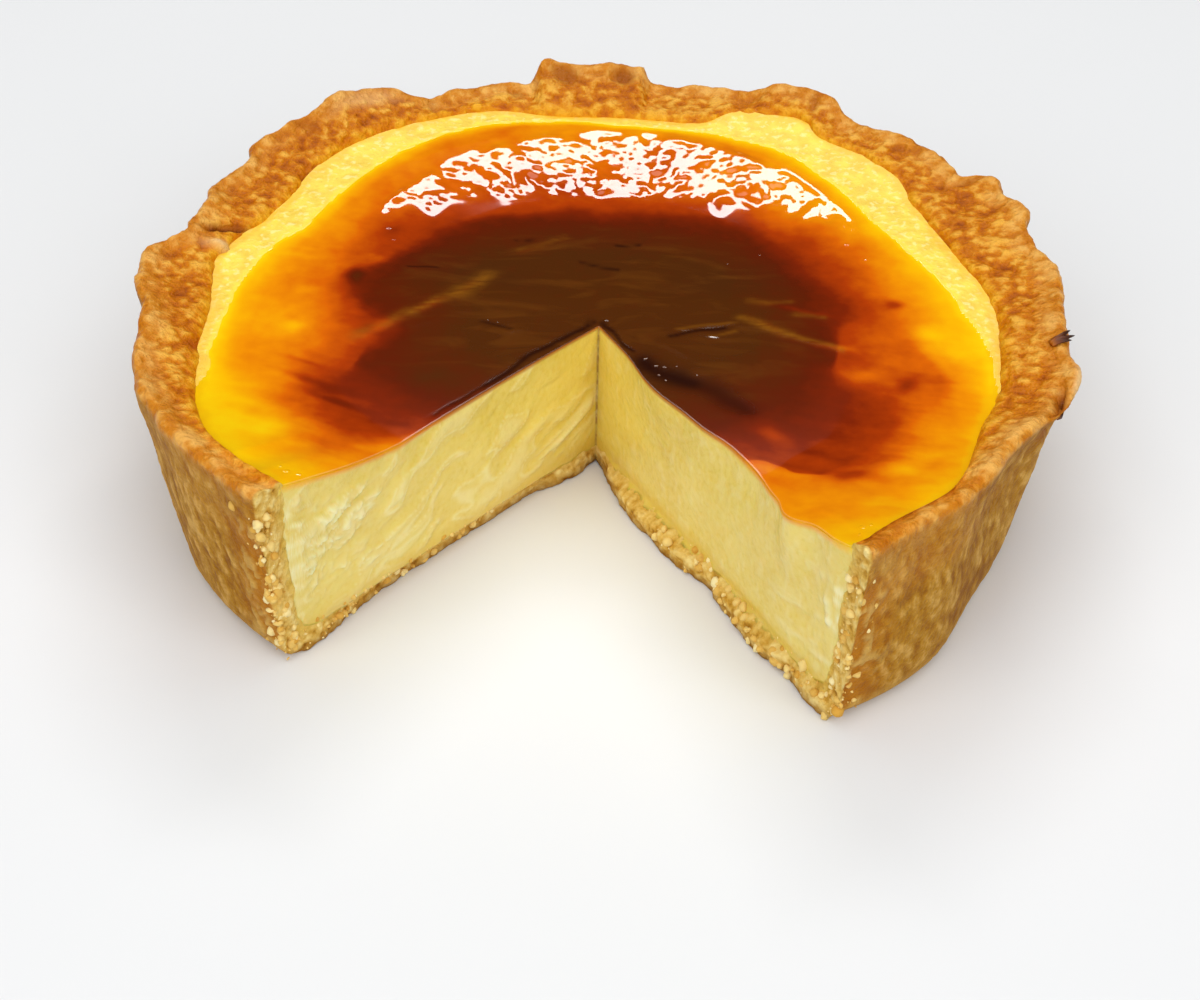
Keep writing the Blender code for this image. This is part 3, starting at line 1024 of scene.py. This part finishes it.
def custard_shell():
    x, y = spokes(sweep(edge_at, 1)[0], np.linspace(0.0, CUSTARD_REACH, SECTION_ROWS))
    top = stacked(x, y, top_height(x, y) - skin_depth(x, y) + SKIN_LAP)
    top[..., 2] -= CUSTARD_TOP_SINK * (1.0 - cut_nearness(top, SINK_FULL))
    wall_rows = SECTION_ROWS // 3
    position = np.linspace(4.0, 0.0, wall_rows)

    def wall_section(angle):
        radius, height = spline(inner_wall(angle), position)
        ragged = rough(stacked(0.0, np.radians(angle) * 90.0, height), 3.5, 3, 57)
        return radius + np.maximum(1.2 + 0.8 * ragged, 0.6), height - CUSTARD_LAP

    wall = sweep(wall_section, wall_rows)
    wall[-1] = top[-1]
    floor_rows = SECTION_ROWS - wall_rows
    floor = flat_rows(wall[0], floor_rows, 0.0)
    floor[..., 2] = FLOOR_THICKNESS - CUSTARD_LAP - 0.5 * rough(floor, 4.0, 3, 58)
    floor[-1, :, 2] = wall[0, :, 2]
    bottom = np.concatenate([floor, wall])
    shell = Shell()
    loop = shell.add(np.concatenate([bottom, top[::-1][1:]]))
    rows = len(loop)
    kept = np.unique(np.concatenate([np.arange(0, rows, HIDDEN_STEP), [SECTION_ROWS - 1, rows - 1]]))
    return shell.close(loop, kept, SECTION_ROWS, CUSTARD_CUT_STEPS)


def left_cut_relief(along, height, below_skin):
    """Height of the smeared ridges and torn knobs on the left cut, and how pale they are painted, as
    highlights of their gloss.
    """
    warp = rough(stacked(along, height, 0.0), 9.0, 2, 69)
    ahead = along - 0.5 * height + 2.0 * warp
    across = height + 0.42 * along + 2.6 * warp
    streaming = stacked(ahead, across, 0.0)
    flow = rough(streaming, (15.0, 4.2, 1.0), 2, 71)
    fine = rough(streaming, (4.0, 1.5, 1.0), 2, 73)
    warped = stacked(0.8 * ahead + 1.2 * fine, across + 0.8 * flow, 0.0)
    knobs = smooth(blobs(warped, 2.7, 75), 0.60, 0.10)
    small_knobs = smooth(blobs(warped, 1.4, 77), 0.60, 0.15)
    torn = smooth(along + 3.0 * warp, 54.0, 68.0) * smooth(height, 9.0, 15.0) * smooth(below_skin, 1.0, 6.0)
    torn = torn * smooth(flow + 0.05 * (along - 68.0), -0.6, 0.4)
    drips = smooth(along, 26.0, 12.0) * smooth(np.abs(height + 0.25 * along - 17.0), 7.0, 2.0)
    slanted = stacked(along, height + 0.35 * along, 0.0)
    waves = drips * smooth(rough(slanted, (12.0, 1.7, 1.0), 2, 79), 0.0, 0.6)
    crest = smooth(np.abs(flow - 0.3), 0.14, 0.0) * smooth(height, 4.0, 9.0)
    lift = 0.34 * flow + 0.04 * fine + 0.10 * crest + torn * (0.55 * knobs + 0.35 * small_knobs)
    pale = 0.30 * smooth(flow, 0.25, 0.9) + 0.4 * crest + torn * (0.5 * knobs + 0.4 * small_knobs)
    return lift + 0.55 * waves, pale + 0.6 * waves


def right_cut_relief(along, height, _):
    """The same for the right cut, which is smoother and has fine upright marks."""
    place = stacked(along, height, 0.0)
    waves = rough(place, (13.0, 9.0, 1.0), 2, 61)
    fine = rough(place + 0.3 * waves[..., None], (1.5, 2.8, 1.0), 2, 63)
    slanted = stacked(along + height, height - 0.25 * along, 0.0)
    streams = rough(slanted, (12.0, 2.0, 1.0), 2, 65)
    torn = smooth(along, 80.0, 87.0) * smooth(np.abs(height - 26.0), 9.0, 4.0)
    low = smooth(along, 62.0, 78.0) * smooth(np.abs(height - 15.0), 8.0, 3.0)
    knobs = smooth(blobs(place, 3.2, 67), 0.62, 0.12)
    lift = 0.22 * waves + 0.06 * fine + 0.75 * torn * knobs + 0.24 * low * streams
    pale = 0.18 * smooth(fine, 0.25, 0.8) + torn * knobs + 0.4 * low * smooth(streams, 0.2, 0.7)
    return lift, pale


CUT_RELIEFS = (right_cut_relief, left_cut_relief)


def shape_custard(mesh, points, normals):
    x, y, height = points.T
    from_point = np.hypot(x - SLICE_POINT[0], y - SLICE_POINT[1])
    below_skin = top_height(x, y) - height
    lift = np.zeros_like(x)
    pale = np.zeros_like(x)
    for (along, depth, _, _, _), relief in zip(cut_places(points), CUT_RELIEFS):
        near = smooth(np.abs(depth), 0.5, 0.0) * (along > -1.0)
        here_lift, here_pale = relief(along, height, below_skin)
        lift = np.where(near > 0.0, near * here_lift, lift)
        pale = np.where(near > 0.0, near * here_pale, pale)
    inside = -depth_in_pastry(*polar(x, y), height)
    lift = lift * smooth(below_skin, 0.4, 2.0) * smooth(from_point, 0.6, 3.0) * smooth(inside, 0.4, 2.2)
    lift += 0.06 * cut_nearness(points, 0.3)
    moved = bend_cuts(points) + normals * lift[:, None]
    browning_with_reflection = doneness(x, y)
    stain = smooth(below_skin, between(2.6, 1.1, browning_with_reflection), 0.45)
    write_fields(mesh, stain=stain, doneness=browning_with_reflection, pale=pale, from_point=from_point, height=height)
    return moved


def glare_band(x, y):
    """Where the skin is crinkled: 1 on the steeper band, and the same with a softer front."""
    start, end = band_ends(x)
    band = smooth(y, end + 4.0, end) * smooth(end - start, 0.5, 3.0)
    return band * smooth(y, start - 0.5, start + 1.5), band * smooth(y, start - 4.0, start + 6.0)


def skin_depth(x, y):
    """Thickness of the skin, which is more where it is crinkled."""
    return SKIN_THICKNESS + CRINKLE_DEPTH * glare_band(x, y)[1]


# Relief of the skin in millimetres: everywhere, on the crinkled band, and at its strokes.
SWELL_HEIGHT = 0.035
GLAZE_GRAIN = 0.0012
CURTAIN_HEIGHT = 0.55
FOLD_HEIGHT = 0.34
CREASE_HEIGHT = 0.13
CRINKLE_HEIGHT = 0.10
LIGHT_STROKE_HEIGHT = 0.05
DEEP_STROKE_DEPTH = 0.04


def skin_relief(x, y):
    """Small swells and wrinkles of the glazed skin, in millimetres of height."""
    place = stacked(x, y, 0.0)
    angle, radius = polar(x, y)
    warp = rough(place, 6.0, 3, 91)
    sideways = np.radians(angle - 90.0) * 58.0 + 1.5 * warp
    cells = stacked(sideways, 0.55 * radius + 1.2 * warp, 0.0)
    curtains = noise(cells, (8.0, 13.0, 1.0), 99)
    folds = noise(cells, (4.5, 5.5, 1.0), 101)
    creases = noise(cells, 2.4, 105)
    crinkle = noise(place + 0.8 * warp[..., None], (1.1, 1.9, 1.0), 111)
    relief = SWELL_HEIGHT * rough(place, 26.0, 2, 81) + GLAZE_GRAIN * crinkle
    crisp, soft = glare_band(x, y)
    relief += (
        soft * (CURTAIN_HEIGHT * curtains + FOLD_HEIGHT * folds)
        + crisp * (CREASE_HEIGHT * creases + CRINKLE_HEIGHT * crinkle)
    )
    for spot_x, spot_y, length, width, turn, amount in SKIN_LUMPS:
        relief += amount * spot(x, y, spot_x, spot_y, length, width, turn)
    light, deep = skin_strokes(x, y)
    return relief + LIGHT_STROKE_HEIGHT * light - DEEP_STROKE_DEPTH * deep


def skin_strokes(x, y):
    """How strongly a place is a light fold with a painted highlight, and how strongly a dark stroke of thick
    syrup and painted shade.
    """
    place = stacked(x, y, 0.0)
    wander_x = x + 0.9 * rough(place, 7.0, 2, 181)
    wander_y = y + 0.9 * rough(place, 7.0, 2, 183)
    light = np.zeros_like(x)
    deep = np.zeros_like(x)
    for start_x, start_y, end_x, end_y, width, strength in SKIN_STROKES:
        ahead_x, ahead_y = end_x - start_x, end_y - start_y
        here_x, here_y = wander_x - start_x, wander_y - start_y
        share = (here_x * ahead_x + here_y * ahead_y) / (ahead_x ** 2 + ahead_y ** 2)
        share = np.clip(share, 0.0, 1.0)
        away = np.hypot(here_x - share * ahead_x, here_y - share * ahead_y)
        mark = np.exp(-2.0 * (2.0 * away / width) ** 2)
        if strength > 0.0:
            light = np.maximum(light, strength * mark)
        else:
            deep = np.maximum(deep, -strength * mark)
    return light, deep


def spot(x, y, middle_x, middle_y, length, width, turn):
    """A soft oval mark: 1 in its middle and nearly 0 at its ends and sides."""
    along, across = rotated(x - middle_x, y - middle_y, turn)
    return np.exp(-2.0 * ((2.0 * along / length) ** 2 + (2.0 * across / width) ** 2))


def skin_shell():
    # The rows lie closest together on the crinkled slope, then by the film's edge.
    place = np.linspace(0.0, SKIN_REACH, 400)
    closeness = np.where(place < 0.5, 0.8, np.where(place < 0.87, 2.2, 1.5))
    passed = np.concatenate([[0.0], np.cumsum(closeness)[:-1]])
    share = np.interp(np.linspace(0.0, passed[-1], TOP_ROWS - 2), passed, place)
    share = np.concatenate([[0.0, 0.0015, 0.006], share[1:]])
    x, y = spokes(sweep(edge_at, 1)[0], share)
    height = top_height(x, y)
    top = stacked(x, y, height)
    thickness = skin_depth(x, y) + SKIN_UNDER_SINK * (1.0 - cut_nearness(top, SINK_FULL))
    thickness = thickness * smooth(share, SKIN_REACH, SKIN_FULL)[:, None]
    under = stacked(x, y, height - thickness)
    shell = Shell()
    loop = shell.add(np.concatenate([top, under[::-1][1:]]))
    rows = len(loop)
    hidden = np.arange(TOP_ROWS + 6, rows - 1, HIDDEN_STEP)
    kept = np.concatenate([np.arange(TOP_ROWS), [TOP_ROWS + 2], hidden, [rows - 1]])
    return shell.close(loop, kept, TOP_ROWS, SKIN_CUT_STEPS)


def shape_skin(mesh, points, normals):
    x, y = points[:, 0], points[:, 1]
    upper = smooth(normals[:, 2], 0.0, 0.5)
    moved = bend_cuts(points)
    moved[:, 2] += skin_relief(x, y) * upper
    browning_with_reflection = doneness(x, y)
    angle, radius = polar(x, y)
    ragged = rough(stacked(x, y, 0.0), 4.0, 3, 87)
    margin = smooth(edge_at(angle)[0] - radius + 0.9 * ragged, 1.9, 0.2)
    cut_edge = cut_nearness(points, 0.5) * smooth(normals[:, 2], 0.95, 0.5)
    light, deep = skin_strokes(x, y)
    write_fields(
        mesh,
        doneness=browning_with_reflection,
        dryness=smooth(browning_with_reflection, 0.12, 0.03),
        margin=margin,
        cut_edge=cut_edge,
        # The folds carry a painted highlight. deep carries thick syrup and painted shade in the dents.
        light_folds=light,
        deep=deep,
    )
    return moved


def doneness(x, y):
    """How far the skin is browned: 0 pale cream, 0.5 orange, 1 the dark middle. At the back, the crisp edge
    of the dark middle and the red band behind it are a painted reflection as well.
    """
    place = stacked(x, y, 0.0)
    shift_x = 1.4 * rough(place, 8.0, 3, 121, 0.35)
    shift_y = 1.4 * rough(place, 8.0, 3, 131, 0.35)
    calm = between(1.0, 0.4, smooth(np.hypot(x, y), 62.0, 74.0))
    moved_x, moved_y = x + calm * shift_x, y + calm * shift_y
    angle, radius = polar(moved_x, moved_y)
    rings = []
    for level, ring, lobes in BROWNING_AND_REFLECTION_RINGS:
        for middle, half_width, softness, outward in lobes:
            ring = ring + outward * lobe(angle, middle, half_width, softness)
        rings.append((level, ring))
    for level, places in OUTER_RINGS:
        rings.append((level, np.interp(angle, *np.transpose(places), period=360.0)))
    for inner in range(len(rings) - 1, 0, -1):
        level, ring = rings[inner - 1]
        rings[inner - 1] = (level, np.minimum(ring, rings[inner][1] - 0.6))
    value = 1.0
    inner_level, inner_ring = 1.0, rings[0][1] - BROWNING_CORE_WIDTH
    for level, ring in rings + [(0.03, rings[-1][1] + 0.7), (0.0, rings[-1][1] + CREAM_FADE)]:
        share = np.clip((radius - inner_ring) / (ring - inner_ring), 0.0, 1.0)
        value = value + (level - inner_level) * share
        inner_level, inner_ring = level, ring
    for spot_x, spot_y, length, width, turn, amount in BROWNING_SPOTS:
        value = value + amount * spot(moved_x, moved_y, spot_x, spot_y, length, width, turn)
    along, across = rotated(x, y, STREAK_TURN)
    streaks = rough(stacked(along, across + 0.8 * shift_y, 0.0), (14.0, 3.0, 1.0), 3, 141)
    clouds = rough(place, 16.0, 2, 151)
    strength = smooth(value, 0.12, 0.3) * smooth(value, 0.9, 0.65) * smooth(clouds - 0.02 * y, -0.3, 0.9)
    blotches = rough(place, 13.0, 3, 161) * smooth(value, 0.1, 0.3) * smooth(value, 0.75, 0.5)
    value = value + STREAK_STRENGTH * strength * streaks + CLOUD_STRENGTH * blotches
    return np.clip(value, 0.0, 1.0)


DROPLET_RINGS = 5
DROPLET_SIDES = 12
DROPLET_RISE = 0.14               # of the radius


def make_droplets(material):
    """Flat drops that stand on the skin, each closed by a face sunk in it."""
    share = np.linspace(0.0, 1.0, DROPLET_RINGS + 1)[1:, None]
    turn = 2.0 * np.pi * np.arange(DROPLET_SIDES) / DROPLET_SIDES
    points = []
    faces = []
    for number, (x, y, size) in enumerate(DROPLETS):
        wide = size * share * (1.0 + 0.2 * np.sin(2.0 * turn + number))
        ring_x = x + wide * np.cos(turn)
        ring_y = y + wide * np.sin(turn)
        rise = DROPLET_RISE * size * (1.0 - share ** 2) ** 2 - 0.15 * (share == 1.0)
        ring_z = top_height(ring_x, ring_y) + rise
        middle = (x, y, top_height(np.array(x), np.array(y)) + DROPLET_RISE * size)
        start = sum(len(part) for part in points)
        points.append(np.concatenate([[middle], stacked(ring_x, ring_y, ring_z).reshape(-1, 3)]))
        index = start + 1 + np.arange(DROPLET_RINGS * DROPLET_SIDES).reshape(DROPLET_RINGS, DROPLET_SIDES)
        beside = np.roll(index, -1, axis=1)
        faces += [(start, here, there) for here, there in zip(index[0], beside[0])]
        faces += stacked(index[:-1], index[1:], beside[1:], beside[:-1]).reshape(-1, 4).tolist()
        faces.append(index[-1, ::-1].tolist())
    points = np.concatenate(points)
    fields = dict.fromkeys(("dryness", "margin", "cut_edge", "light_folds", "deep"), np.zeros(len(points)))
    fields["doneness"] = doneness(points[:, 0], points[:, 1])
    mesh = new_mesh("droplets", points, [[int(corner) for corner in face] for face in faces], **fields)
    place_piece("droplets", mesh, material)


# ---- materials

def tone(red, green, blue):
    """A colour as it reads on the screen, from 0 to 255, as the linear colour a shader takes."""
    share = np.array((red, green, blue)) / 255.0
    linear = np.where(share <= 0.04045, share / 12.92, ((share + 0.055) / 1.055) ** 2.4)
    return (*linear.tolist(), 1.0)


class Paint:
    """A material and short ways to add nodes to it."""

    def __init__(self, name, **values):
        self.material = bpy.data.materials.new(name)
        self.material.use_nodes = True
        self.tree = self.material.node_tree
        self.shader = self.tree.nodes["Principled BSDF"]
        for socket, value in values.items():
            self.feed(self.shader.inputs[socket.replace("_", " ")], value)

    def feed(self, socket, value):
        if isinstance(value, bpy.types.NodeSocket):
            self.tree.links.new(value, socket)
        else:
            socket.default_value = value

    def node(self, kind, inputs=(), **settings):
        made = self.tree.nodes.new("ShaderNode" + kind)
        for setting, value in settings.items():
            setattr(made, setting, value)
        for socket, value in dict(inputs).items():
            self.feed(made.inputs[socket], value)
        return made

    def field(self, name):
        return self.node("Attribute", attribute_name=name).outputs["Fac"]

    def noise(self, size, detail=3.0, stretch=(1.0, 1.0, 1.0), warp=0.0):
        place = self.node("TexCoord").outputs["Object"]
        scaled = self.node("Mapping", {"Vector": place, "Scale": stretch}).outputs["Vector"]
        return self.node("TexNoise", {
            "Vector": scaled, "Scale": 1.0 / (size * MM), "Detail": detail, "Distortion": warp,
        }).outputs["Fac"]

    def math(self, operation, *values):
        made = self.node("Math", operation=operation)
        for socket, value in zip(made.inputs, values):
            self.feed(socket, value)
        return made.outputs["Value"]

    def times(self, first, second):
        return self.math('MULTIPLY', first, second)

    def sum(self, *terms):
        """Adds up terms, each a value and its weight."""
        total = self.times(*terms[0])
        for value, weight in terms[1:]:
            total = self.math('MULTIPLY_ADD', value, weight, total)
        return total

    def range(self, value, low, high, to_low=0.0, to_high=1.0):
        return self.node("MapRange", {
            "Value": value, "From Min": low, "From Max": high, "To Min": to_low, "To Max": to_high,
        }).outputs["Result"]

    def ramp(self, factor, *stops):
        """A row of colours, each stop a place and its red, green and blue."""
        made = self.node("ValToRGB", {"Fac": factor})
        band = made.color_ramp
        while len(band.elements) < len(stops):
            band.elements.new(0.5)
        for element, (place, *colour) in zip(band.elements, stops):
            element.position = place
            element.color = tone(*colour)
        return made.outputs["Color"]

    def mix(self, factor, first, second):
        made = self.node("Mix", data_type='RGBA')
        for socket, value in ((0, factor), (6, first), (7, second)):
            self.feed(made.inputs[socket], value)
        return made.outputs[2]

    def layers(self, colour, *layers):
        """Lays layers over a colour, each a strength and its own colour."""
        for strength, above in layers:
            colour = self.mix(strength, colour, above)
        return colour

    def colour(self, value):
        self.feed(self.shader.inputs["Base Color"], value)

    def roughness(self, value):
        self.feed(self.shader.inputs["Roughness"], value)

    def bump(self, height, depth):
        made = self.node("Bump", {"Height": height, "Distance": depth * MM})
        self.feed(self.shader.inputs["Normal"], made.outputs["Normal"])


def shade_paint(name, specular, roughness, *stops):
    """A plain material, coloured by the field `shade` alone."""
    paint = Paint(name, Specular_IOR_Level=specular, Roughness=roughness)
    paint.colour(paint.ramp(paint.field("shade"), *stops))
    return paint.material


def crust_paint():
    paint = Paint("baked_crust", Specular_IOR_Level=0.12)
    upper = paint.field("upper")
    height = paint.field("height")
    dark = paint.field("dark")
    grain = paint.noise(0.8, 4.0)
    patches = paint.noise(7.0)
    pebble = paint.range(paint.noise(1.9, warp=0.3), 0.34, 0.62)
    value = paint.sum((grain, 0.38), (paint.field("flakes"), 0.5), (patches, 0.12))
    outside = paint.layers(
        paint.ramp(
            value, (0.28, 146, 90, 8), (0.42, 167, 112, 16), (0.56, 184, 132, 36), (0.72, 210, 162, 78),
        ),
        (paint.range(height, 5.0, 1.0, 0.0, 0.6), tone(218, 172, 80)),
        (
            paint.times(paint.field("flaky"), 0.7),
            paint.mix(paint.field("scales"), tone(188, 114, 18), tone(226, 182, 98)),
        ),
        (paint.range(paint.field("below_rim"), 5.0, 2.0, 0.0, 0.5), tone(160, 104, 36)),
    )
    value = paint.sum((paint.field("relief"), 0.62), (pebble, 0.16), (grain, 0.20))
    soaked = paint.ramp(value, (0.26, 188, 90, 0), (0.46, 216, 126, 0), (0.70, 238, 168, 18))
    mottled = paint.sum((value, 0.5), (patches, 0.5))
    lip = paint.ramp(mottled, (0.34, 188, 104, 10), (0.48, 210, 132, 30), (0.62, 234, 174, 86))
    inside = paint.layers(
        paint.ramp(value, (0.28, 150, 70, 0), (0.42, 184, 96, 0), (0.55, 206, 120, 2), (0.72, 236, 172, 62)),
        (paint.range(paint.field("from_custard"), 4.0, 0.3), soaked),
        (paint.range(paint.field("from_rim"), 7.0, 3.0, 0.0, 0.85), lip),
    )
    value = paint.sum((grain, 0.35), (paint.field("crumb_lumps"), 0.7))
    crumb = paint.layers(
        paint.ramp(
            value, (0.28, 158, 106, 18), (0.42, 206, 156, 58), (0.56, 228, 188, 96), (0.76, 247, 221, 144),
        ),
        # Darker towards the bottom of the cut: the browned underside, with painted shade where it meets the
        # floor.
        (paint.range(height, 2.4, 0.3, 0.0, 0.75), tone(140, 86, 16)),
        (paint.times(paint.field("smear"), 0.6), tone(226, 190, 84)),
    )
    paint.colour(paint.layers(
        outside,
        (upper, inside),
        # Rim marks: painted shade in the hollows, then a painted highlight on the bulges and lobe top.
        (dark, tone(158, 82, 6)),
        (paint.range(dark, 0.9, 1.5), tone(92, 44, 6)),
        (paint.field("pale"), tone(240, 196, 132)),
        (paint.field("crumb"), crumb),
    ))
    paint.roughness(paint.range(upper, 0.0, 1.0, 0.62, 0.4))
    paint.bump(paint.math('MULTIPLY_ADD', pebble, 0.6, grain), 0.45)
    return paint.material


def custard_paint():
    paint = Paint("custard", Roughness=0.26, Subsurface_Weight=0.2, Subsurface_Scale=0.0015)
    fine = paint.noise(1.3)
    from_point = paint.field("from_point")
    browning_with_reflection = paint.field("doneness")
    stain = paint.ramp(
        browning_with_reflection, (0.1, 250, 205, 30), (0.35, 243, 160, 10), (0.6, 222, 124, 20), (0.9, 176, 92, 24),
    )
    dots = paint.range(paint.noise(1.6), 0.40, 0.60, 0.35, 0.75)
    paint.colour(paint.layers(
        paint.ramp(paint.noise(11.0), (0.3, 227, 198, 86), (0.7, 236, 212, 108)),
        (paint.range(fine, 0.35, 0.75, 0.0, 0.30), tone(243, 228, 146)),
        (paint.range(fine, 0.42, 0.25, 0.0, 0.25), tone(214, 180, 60)),
        # Paler crests, ridges and knobs on the cut faces: painted highlights.
        (paint.field("pale"), tone(248, 240, 184)),
        (paint.range(from_point, 26.0, 0.0, 0.0, 0.45), tone(238, 204, 64)),
        # Darker yellow just above the pastry base: painted shade.
        (paint.range(paint.field("height"), 9.0, 5.5, 0.0, 0.55), tone(222, 182, 62)),
        (paint.field("stain"), stain),
        (paint.times(paint.range(from_point, 0.7, 0.2), dots), tone(150, 86, 6)),
    ))
    paint.bump(fine, 0.16)
    return paint.material


# From pale cream to the dark middle: how far the skin is browned, then its colour there.
SKIN_TONES = (
    (0.00, 246, 221, 62),
    (0.05, 251, 222, 22),
    (0.12, 254, 214, 8),
    (0.22, 254, 190, 1),
    (0.38, 243, 146, 1),
    (0.50, 222, 102, 1),
    (0.62, 180, 60, 1),
    (0.74, 130, 35, 1),
    (0.85, 98, 28, 1),
    (1.00, 82, 39, 4),
)


def skin_paint():
    paint = Paint("browned_skin", Specular_IOR_Level=0.8)
    dryness = paint.field("dryness")
    cut_edge = paint.field("cut_edge")
    flecks = paint.noise(1.6)
    mottle = paint.range(paint.noise(3.0, 5.0), 0.3, 0.7, -0.02, 0.02)
    browning_with_reflection = paint.math('ADD', paint.field("doneness"), mottle)
    cream = paint.range(paint.noise(3.5, 5.0), 0.40, 0.64, 0.0, 0.7)
    light = paint.range(flecks, 0.54, 0.64, 0.0, 0.55)
    # Lighter streaks for the dark middle, a painted sheen.
    streaks = paint.range(paint.noise(9.0, 5.0, (0.5, 1.6, 1.0), 1.0), 0.5, 0.75, 0.0, 0.4)
    frayed = paint.range(paint.noise(3.0, 4.0, (0.6, 1.5, 1.0), 0.6), 0.30, 0.62, 0.3, 0.85)
    specks = paint.range(paint.noise(0.8, 1.0), 0.66, 0.74, 0.0, 0.35)
    thin = paint.ramp(
        browning_with_reflection, (0.1, 252, 208, 20), (0.4, 242, 158, 20), (0.66, 206, 122, 50), (0.92, 112, 48, 16),
    )
    paint.colour(paint.layers(
        paint.ramp(browning_with_reflection, *SKIN_TONES),
        (paint.times(cream, dryness), tone(236, 190, 26)),
        (paint.times(light, dryness), tone(255, 245, 160)),
        # Painted sheen: lighter streaks over the dark middle.
        (paint.times(streaks, paint.range(browning_with_reflection, 0.84, 0.98)), tone(122, 68, 14)),
        # Painted highlights on the folds of the skin.
        (paint.times(paint.field("light_folds"), frayed), tone(150, 92, 16)),
        # Dark strokes: thick syrup, and painted shade in the dents.
        (paint.times(paint.field("deep"), 0.9), tone(34, 5, 1)),
        (paint.times(specks, dryness), tone(214, 160, 30)),
        (paint.range(paint.field("margin"), 0.1, 0.95, 0.0, 0.6), tone(246, 186, 6)),
        (cut_edge, thin),
    ))
    roughness = paint.range(dryness, 0.02, 0.12, 0.055, 0.55)
    paint.roughness(paint.math('MULTIPLY_ADD', cut_edge, 0.6, roughness))
    paint.bump(paint.times(flecks, dryness), 0.3)
    return paint.material


# ---- stage, light and camera

STAGE_HALF = 3.0                  # metres
STAGE_DROP = 0.0002               # keeps the floor clear of the flan's underside


def make_floor():
    mesh = bpy.data.meshes.new("floor")
    corners = [(x * STAGE_HALF, y * STAGE_HALF, -STAGE_DROP) for x, y in ((-1, -1), (1, -1), (1, 1), (-1, 1))]
    mesh.from_pydata(corners, [], [(0, 1, 2, 3)])
    floor = bpy.data.objects.new("floor", mesh)
    bpy.context.collection.objects.link(floor)
    paint = Paint("pale_floor", Base_Color=tone(231, 232, 233), Roughness=0.7)
    mesh.materials.append(paint.material)


def softbox(name, place, aim, width, height, brightness):
    """A rectangular light. Brightness is its own radiance, so its size sets how much it lights."""
    lamp = bpy.data.lights.new(name, 'AREA')
    lamp.shape = 'RECTANGLE'
    lamp.size = width
    lamp.size_y = height
    lamp.energy = brightness * np.pi * width * height
    thing = bpy.data.objects.new(name, lamp)
    thing.location = place
    thing.rotation_euler = (Vector(aim) - Vector(place)).to_track_quat('-Z', 'Y').to_euler()
    bpy.context.collection.objects.link(thing)


# The window stands behind the flan, its middle seen from the glazed top at this lift. The other
# lights have their place, what they face, width, height and brightness. Lengths are in metres.
WORLD_STRENGTH = 0.02
WINDOW_DISTANCE = 2.0
WINDOW_LIFT = np.radians(44.5)
GLAZE_HEIGHT = 0.036
WINDOW_SIZE = (1.2, 0.294)
WINDOW_BRIGHTNESS = 9.5
SOFTBOXES = {
    "overhead": ((0.0, 0.0, 1.3), (0.0, 0.0, 0.0), 2.0, 1.6, 1.32),
    "front_left": ((-1.0, -1.2, 1.1), (0.0, 0.0, 0.03), 1.6, 1.4, 2.4),
    "front_right": ((1.0, -1.2, 1.1), (0.0, 0.0, 0.03), 1.6, 1.4, 2.4),
}


def make_lights():
    world = bpy.data.worlds.new("studio")
    world.use_nodes = True
    background = world.node_tree.nodes["Background"]
    background.inputs["Color"].default_value = (1.0, 1.0, 1.0, 1.0)
    background.inputs["Strength"].default_value = WORLD_STRENGTH
    bpy.context.scene.world = world
    back = WINDOW_DISTANCE * np.cos(WINDOW_LIFT)
    up = WINDOW_DISTANCE * np.sin(WINDOW_LIFT) + GLAZE_HEIGHT
    softbox("window", (0.0, back, up), (0.0, 0.0, GLAZE_HEIGHT), *WINDOW_SIZE, WINDOW_BRIGHTNESS)
    for name, values in SOFTBOXES.items():
        softbox(name, *values)


# The camera stands about 45 cm from the flan and looks down on it.
CAMERA_PLACE = (4.686, -358.86, 276.67)
CAMERA_PITCH = 0.68875            # radians
CAMERA_YAW = -0.010426
CAMERA_ROLL = 0.02735
CAMERA_LENS = 60.0
CAMERA_SENSOR = 36.0
CAMERA_CLIP_START = 0.01          # metres


def make_camera():
    data = bpy.data.cameras.new("camera")
    data.lens = CAMERA_LENS
    data.sensor_width = CAMERA_SENSOR
    data.clip_start = CAMERA_CLIP_START
    camera = bpy.data.objects.new("camera", data)
    bpy.context.collection.objects.link(camera)
    turns = ((-CAMERA_YAW, 'Z'), (0.5 * np.pi - CAMERA_PITCH, 'X'), (CAMERA_ROLL, 'Z'))
    camera.matrix_world = Matrix.Translation(Vector(CAMERA_PLACE) * MM)
    for turn, axis in turns:
        camera.matrix_world = camera.matrix_world @ Matrix.Rotation(turn, 4, axis)
    bpy.context.scene.camera = camera


def main():
    bpy.context.scene.view_settings.view_transform = 'Standard'
    make_camera()
    make_lights()
    make_floor()
    crust = crust_shell().mesh("crust", shape_crust)
    place_piece("crust", crust, crust_paint(), "pastry_case")
    custard = custard_shell().mesh("custard", shape_custard)
    place_piece("custard", custard, custard_paint(), "custard_filling")
    skin = skin_shell().mesh("skin", shape_skin)
    skin.set_sharp_from_angle(angle=SKIN_SHARP_ANGLE)
    glaze = skin_paint()
    place_piece("skin", skin, glaze)
    make_droplets(glaze)
    make_crumbs()
    make_tip()


main()
